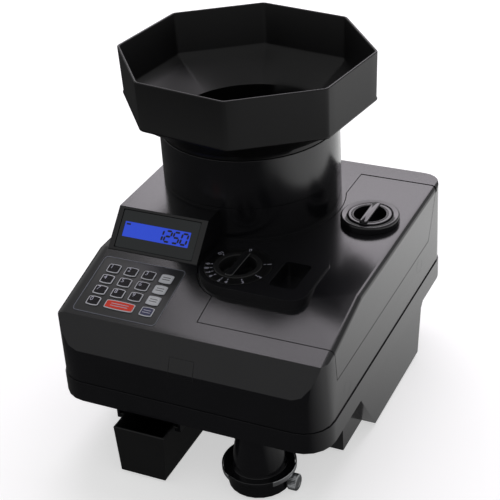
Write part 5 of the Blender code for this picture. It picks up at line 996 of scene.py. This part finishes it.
def dress_frame(settings):
    """Gives each CAD node that stays its material."""
    for key, names in CARRIED.items():
        for name in names:
            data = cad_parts[name].data
            data.materials.clear()
            data.materials.append(finish(key))


# Stage

def direction(azimuth, elevation):
    """Unit vector towards a place: azimuth from the front towards the right, elevation from the floor."""
    return Vector((math.sin(azimuth) * math.cos(elevation), -math.cos(azimuth) * math.cos(elevation),
                   math.sin(elevation)))


def make_camera():
    """The camera of the photograph: its axes from azimuth, elevation and roll."""
    back = direction(CAMERA_AZIMUTH, CAMERA_ELEVATION)
    right = Vector((math.cos(CAMERA_AZIMUTH), math.sin(CAMERA_AZIMUTH), 0))
    up = back.cross(right)
    c, s = math.cos(CAMERA_ROLL), math.sin(CAMERA_ROLL)
    right, up = right * c + up * s, up * c - right * s
    data = bpy.data.cameras.new("camera")
    data.lens = CAMERA_LENS
    data.sensor_width = CAMERA_SENSOR
    camera = placed("camera", data)
    turn = Matrix((right, up, back)).transposed().to_4x4()
    camera.matrix_world = Matrix.Translation(CAMERA_TARGET + back * CAMERA_DISTANCE) @ turn
    bpy.context.scene.camera = camera


def floor_material():
    """White board: bright and clean to the eye, with the machine's shadow on it.

    Reflections see it bright behind on the right and dim elsewhere, which shades the black shells.
    """
    material = bpy.data.materials.new("Painted board, white")
    material.use_nodes = True
    tree = material.node_tree
    shader = tree.nodes["Principled BSDF"]
    shader.inputs["Base Color"].default_value = (*to_linear(FLOOR_COLOUR), 1)
    shader.inputs["Roughness"].default_value = FLOOR_ROUGHNESS
    shader.inputs["Emission Color"].default_value = (1, 1, 1, 1)
    rays = node(tree, "ShaderNodeLightPath")
    seen = node(tree, "ShaderNodeMapRange", [(rays.outputs["Is Camera Ray"], "Value")], to_max=FLOOR_GLOW)
    tree.links.new(seen.outputs["Result"], shader.inputs["Emission Strength"])
    place = node(tree, "ShaderNodeTexCoord").outputs["Object"]
    along = node(tree, "ShaderNodeVectorMath", [(place, 0)], operation="DOT_PRODUCT")
    along.inputs[1].default_value = FLOOR_GLOSS_WAY
    fade = node(tree, "ShaderNodeMapRange", [(along.outputs["Value"], "Value")], from_min=FLOOR_GLOSS_START,
                from_max=FLOOR_GLOSS_END, to_min=FLOOR_NEAR_GLOSS, to_max=FLOOR_FAR_GLOSS)
    glow = node(tree, "ShaderNodeEmission", [(fade.outputs["Result"], "Strength")])
    both = node(tree, "ShaderNodeMath", [(rays.outputs["Is Glossy Ray"], 0),
                                         (rays.outputs["Is Transmission Ray"], 1)], operation="MAXIMUM")
    mixed = node(tree, "ShaderNodeMixShader", [(both.outputs["Value"], 0), (shader.outputs["BSDF"], 1),
                                               (glow.outputs["Emission"], 2)])
    tree.links.new(mixed.outputs["Shader"], tree.nodes["Material Output"].inputs["Surface"])
    return material


def make_floor():
    """A square board that the machine stands on."""
    mesh = bpy.data.meshes.new("floor")
    h = FLOOR_HALF
    points = level(rectangle(-h, h, -h, h), FLOOR_Z)
    mesh.from_pydata(points.tolist(), [], [(0, 1, 2, 3)])
    mesh.materials.append(floor_material())
    floor = placed("floor", mesh)


def make_window(brightness):
    """A large square window behind the machine. Its power is brightness times pi times its area."""
    data = bpy.data.lights.new("window", "AREA")
    data.size = WINDOW_SIZE
    data.color = to_linear(WINDOW_COLOUR)
    data.energy = brightness * math.pi * WINDOW_SIZE ** 2
    lamp = placed("window", data)
    towards = direction(WINDOW_AZIMUTH, WINDOW_ELEVATION)
    turn = towards.to_track_quat("Z", "Y").to_matrix().to_4x4()
    lamp.matrix_world = Matrix.Translation(WINDOW_AIM + towards * WINDOW_DISTANCE) @ turn


def make_room(strength):
    """An even white room: dim as light, half bright in reflections, and plain white to the camera."""
    world = bpy.data.worlds.new("room")
    world.use_nodes = True
    tree = world.node_tree
    rays = node(tree, "ShaderNodeLightPath")
    gloss = node(tree, "ShaderNodeMapRange", [(rays.outputs["Is Glossy Ray"], "Value")], to_min=strength,
                 to_max=ROOM_GLOSS)
    seen = node(tree, "ShaderNodeMath", [(gloss.outputs["Result"], 0), (rays.outputs["Is Camera Ray"], 1)],
                operation="MAXIMUM")
    backdrop = tree.nodes["Background"]
    backdrop.inputs["Color"].default_value = (1, 1, 1, 1)
    tree.links.new(seen.outputs["Value"], backdrop.inputs["Strength"])
    bpy.context.scene.world = world


def make_stage(settings):
    """Room, floor, window, camera and the plain view transform."""
    make_room(settings.room_light)
    make_floor()
    make_window(settings.window_light)
    make_camera()
    bpy.context.scene.view_settings.view_transform = "Standard"


# Add-on

class CoinSorterSettings(bpy.types.PropertyGroup):
    """Sizes, colours and lights that someone would change"""
    edge_radius: FloatProperty(
        name="Edge radius", description="Rounding of the mouldings' edges", default=SHELL_EDGE,
        min=0.1 * MM, max=1 * MM, subtype="DISTANCE", unit="LENGTH")
    key_line: FloatProperty(
        name="Key outline", description="Width of the light line round each key", default=0.9 * MM,
        min=0.2 * MM, max=2 * MM, subtype="DISTANCE", unit="LENGTH")
    key_figure: FloatProperty(
        name="Key figures", description="Height of the figures on the keys", default=5 * MM, min=2 * MM,
        max=7 * MM, subtype="DISTANCE", unit="LENGTH")
    figure_height: FloatProperty(
        name="Dial figures", description="Height of the figures round the dial", default=4.4 * MM,
        min=2 * MM, max=5 * MM, subtype="DISTANCE", unit="LENGTH")
    count: StringProperty(
        name="Count", description="Figures on the display, up to seven", default="1250", maxlen=7)
    shell_colour: FloatVectorProperty(
        name="Housing", description="Colour of the moulded shells", default=to_linear("#151518"), size=3,
        min=0.0, max=1.0, subtype="COLOR")
    start_key_colour: FloatVectorProperty(
        name="Start key", description="Colour of the wide key", default=to_linear("#ff4a34"), size=3,
        min=0.0, max=1.0, subtype="COLOR")
    display_colour: FloatVectorProperty(
        name="Display", description="Colour of the display's backlight", default=to_linear("#2546cb"),
        size=3, min=0.0, max=1.0, subtype="COLOR")
    display_glow: FloatProperty(
        name="Display glow", description="Strength of the display's backlight", default=0.85, min=0.0,
        max=5.0)
    room_light: FloatProperty(
        name="Room light", description="Strength of the even light from all round", default=0.3, min=0.0,
        max=2.0)
    window_light: FloatProperty(
        name="Window light", description="Brightness of the large window, where 1 is white", default=2.8,
        min=0.0, max=10.0)


def operator(name, label, text, work):
    """An operator class that runs one making function."""
    def execute(self, context):
        work(context.scene.coin_sorter)
        return {"FINISHED"}
    body = {"bl_idname": "coin_sorter." + name, "bl_label": label, "__doc__": text, "execute": execute}
    return type("COINSORTER_OT_" + name, (bpy.types.Operator,), body)


STEPS = [
    ("shells", "Shells", make_shells),
    ("marks", "Front and side marks", make_marks),
    ("hopper", "Hopper", make_hopper),
    ("thickness_dial", "Thickness dial", make_thickness_dial),
    ("size_knob", "Size knob", make_size_knob),
    ("display", "Display", make_display),
    ("keypad", "Keypad", make_keypad),
    ("keys", "Keys", make_keys),
    ("clamp_band", "Clamp band", make_clamp_band),
    ("thumbscrew", "Thumbscrew", make_thumbscrew),
    ("feed_disc", "Feed disc", make_feed_disc),
    ("feet", "Feet", make_feet),
    ("power_entry", "Power entry", make_power_entry),
    ("frame", "Frame materials", dress_frame),
    ("stage", "Stage", make_stage),
]
OPERATORS = [operator(name, label, "Makes the " + label.lower(), work) for name, label, work in STEPS]


class COINSORTER_PT_panel(bpy.types.Panel):
    """Lists the machine's settings and pieces in the sidebar"""
    bl_idname = "COINSORTER_PT_panel"
    bl_label = "Coin Sorter"
    bl_space_type = "VIEW_3D"
    bl_region_type = "UI"
    bl_category = "Coin Sorter"

    def draw(self, context):
        for name in CoinSorterSettings.__annotations__:
            self.layout.prop(context.scene.coin_sorter, name)
        for kind in OPERATORS:
            self.layout.operator(kind.bl_idname)


def register():
    """Adds the classes and the scene's settings."""
    for kind in [CoinSorterSettings, *OPERATORS, COINSORTER_PT_panel]:
        bpy.utils.register_class(kind)
    bpy.types.Scene.coin_sorter = PointerProperty(type=CoinSorterSettings)


def unregister():
    """Takes them away again."""
    del bpy.types.Scene.coin_sorter
    for kind in [COINSORTER_PT_panel, *OPERATORS[::-1], CoinSorterSettings]:
        bpy.utils.unregister_class(kind)


def main():
    """Makes every piece and the stage, and writes the CAD's and the visual's boxes."""
    register()
    for name, _, _ in STEPS:
        getattr(bpy.ops.coin_sorter, name)()


if __name__ == "__main__":
    main()
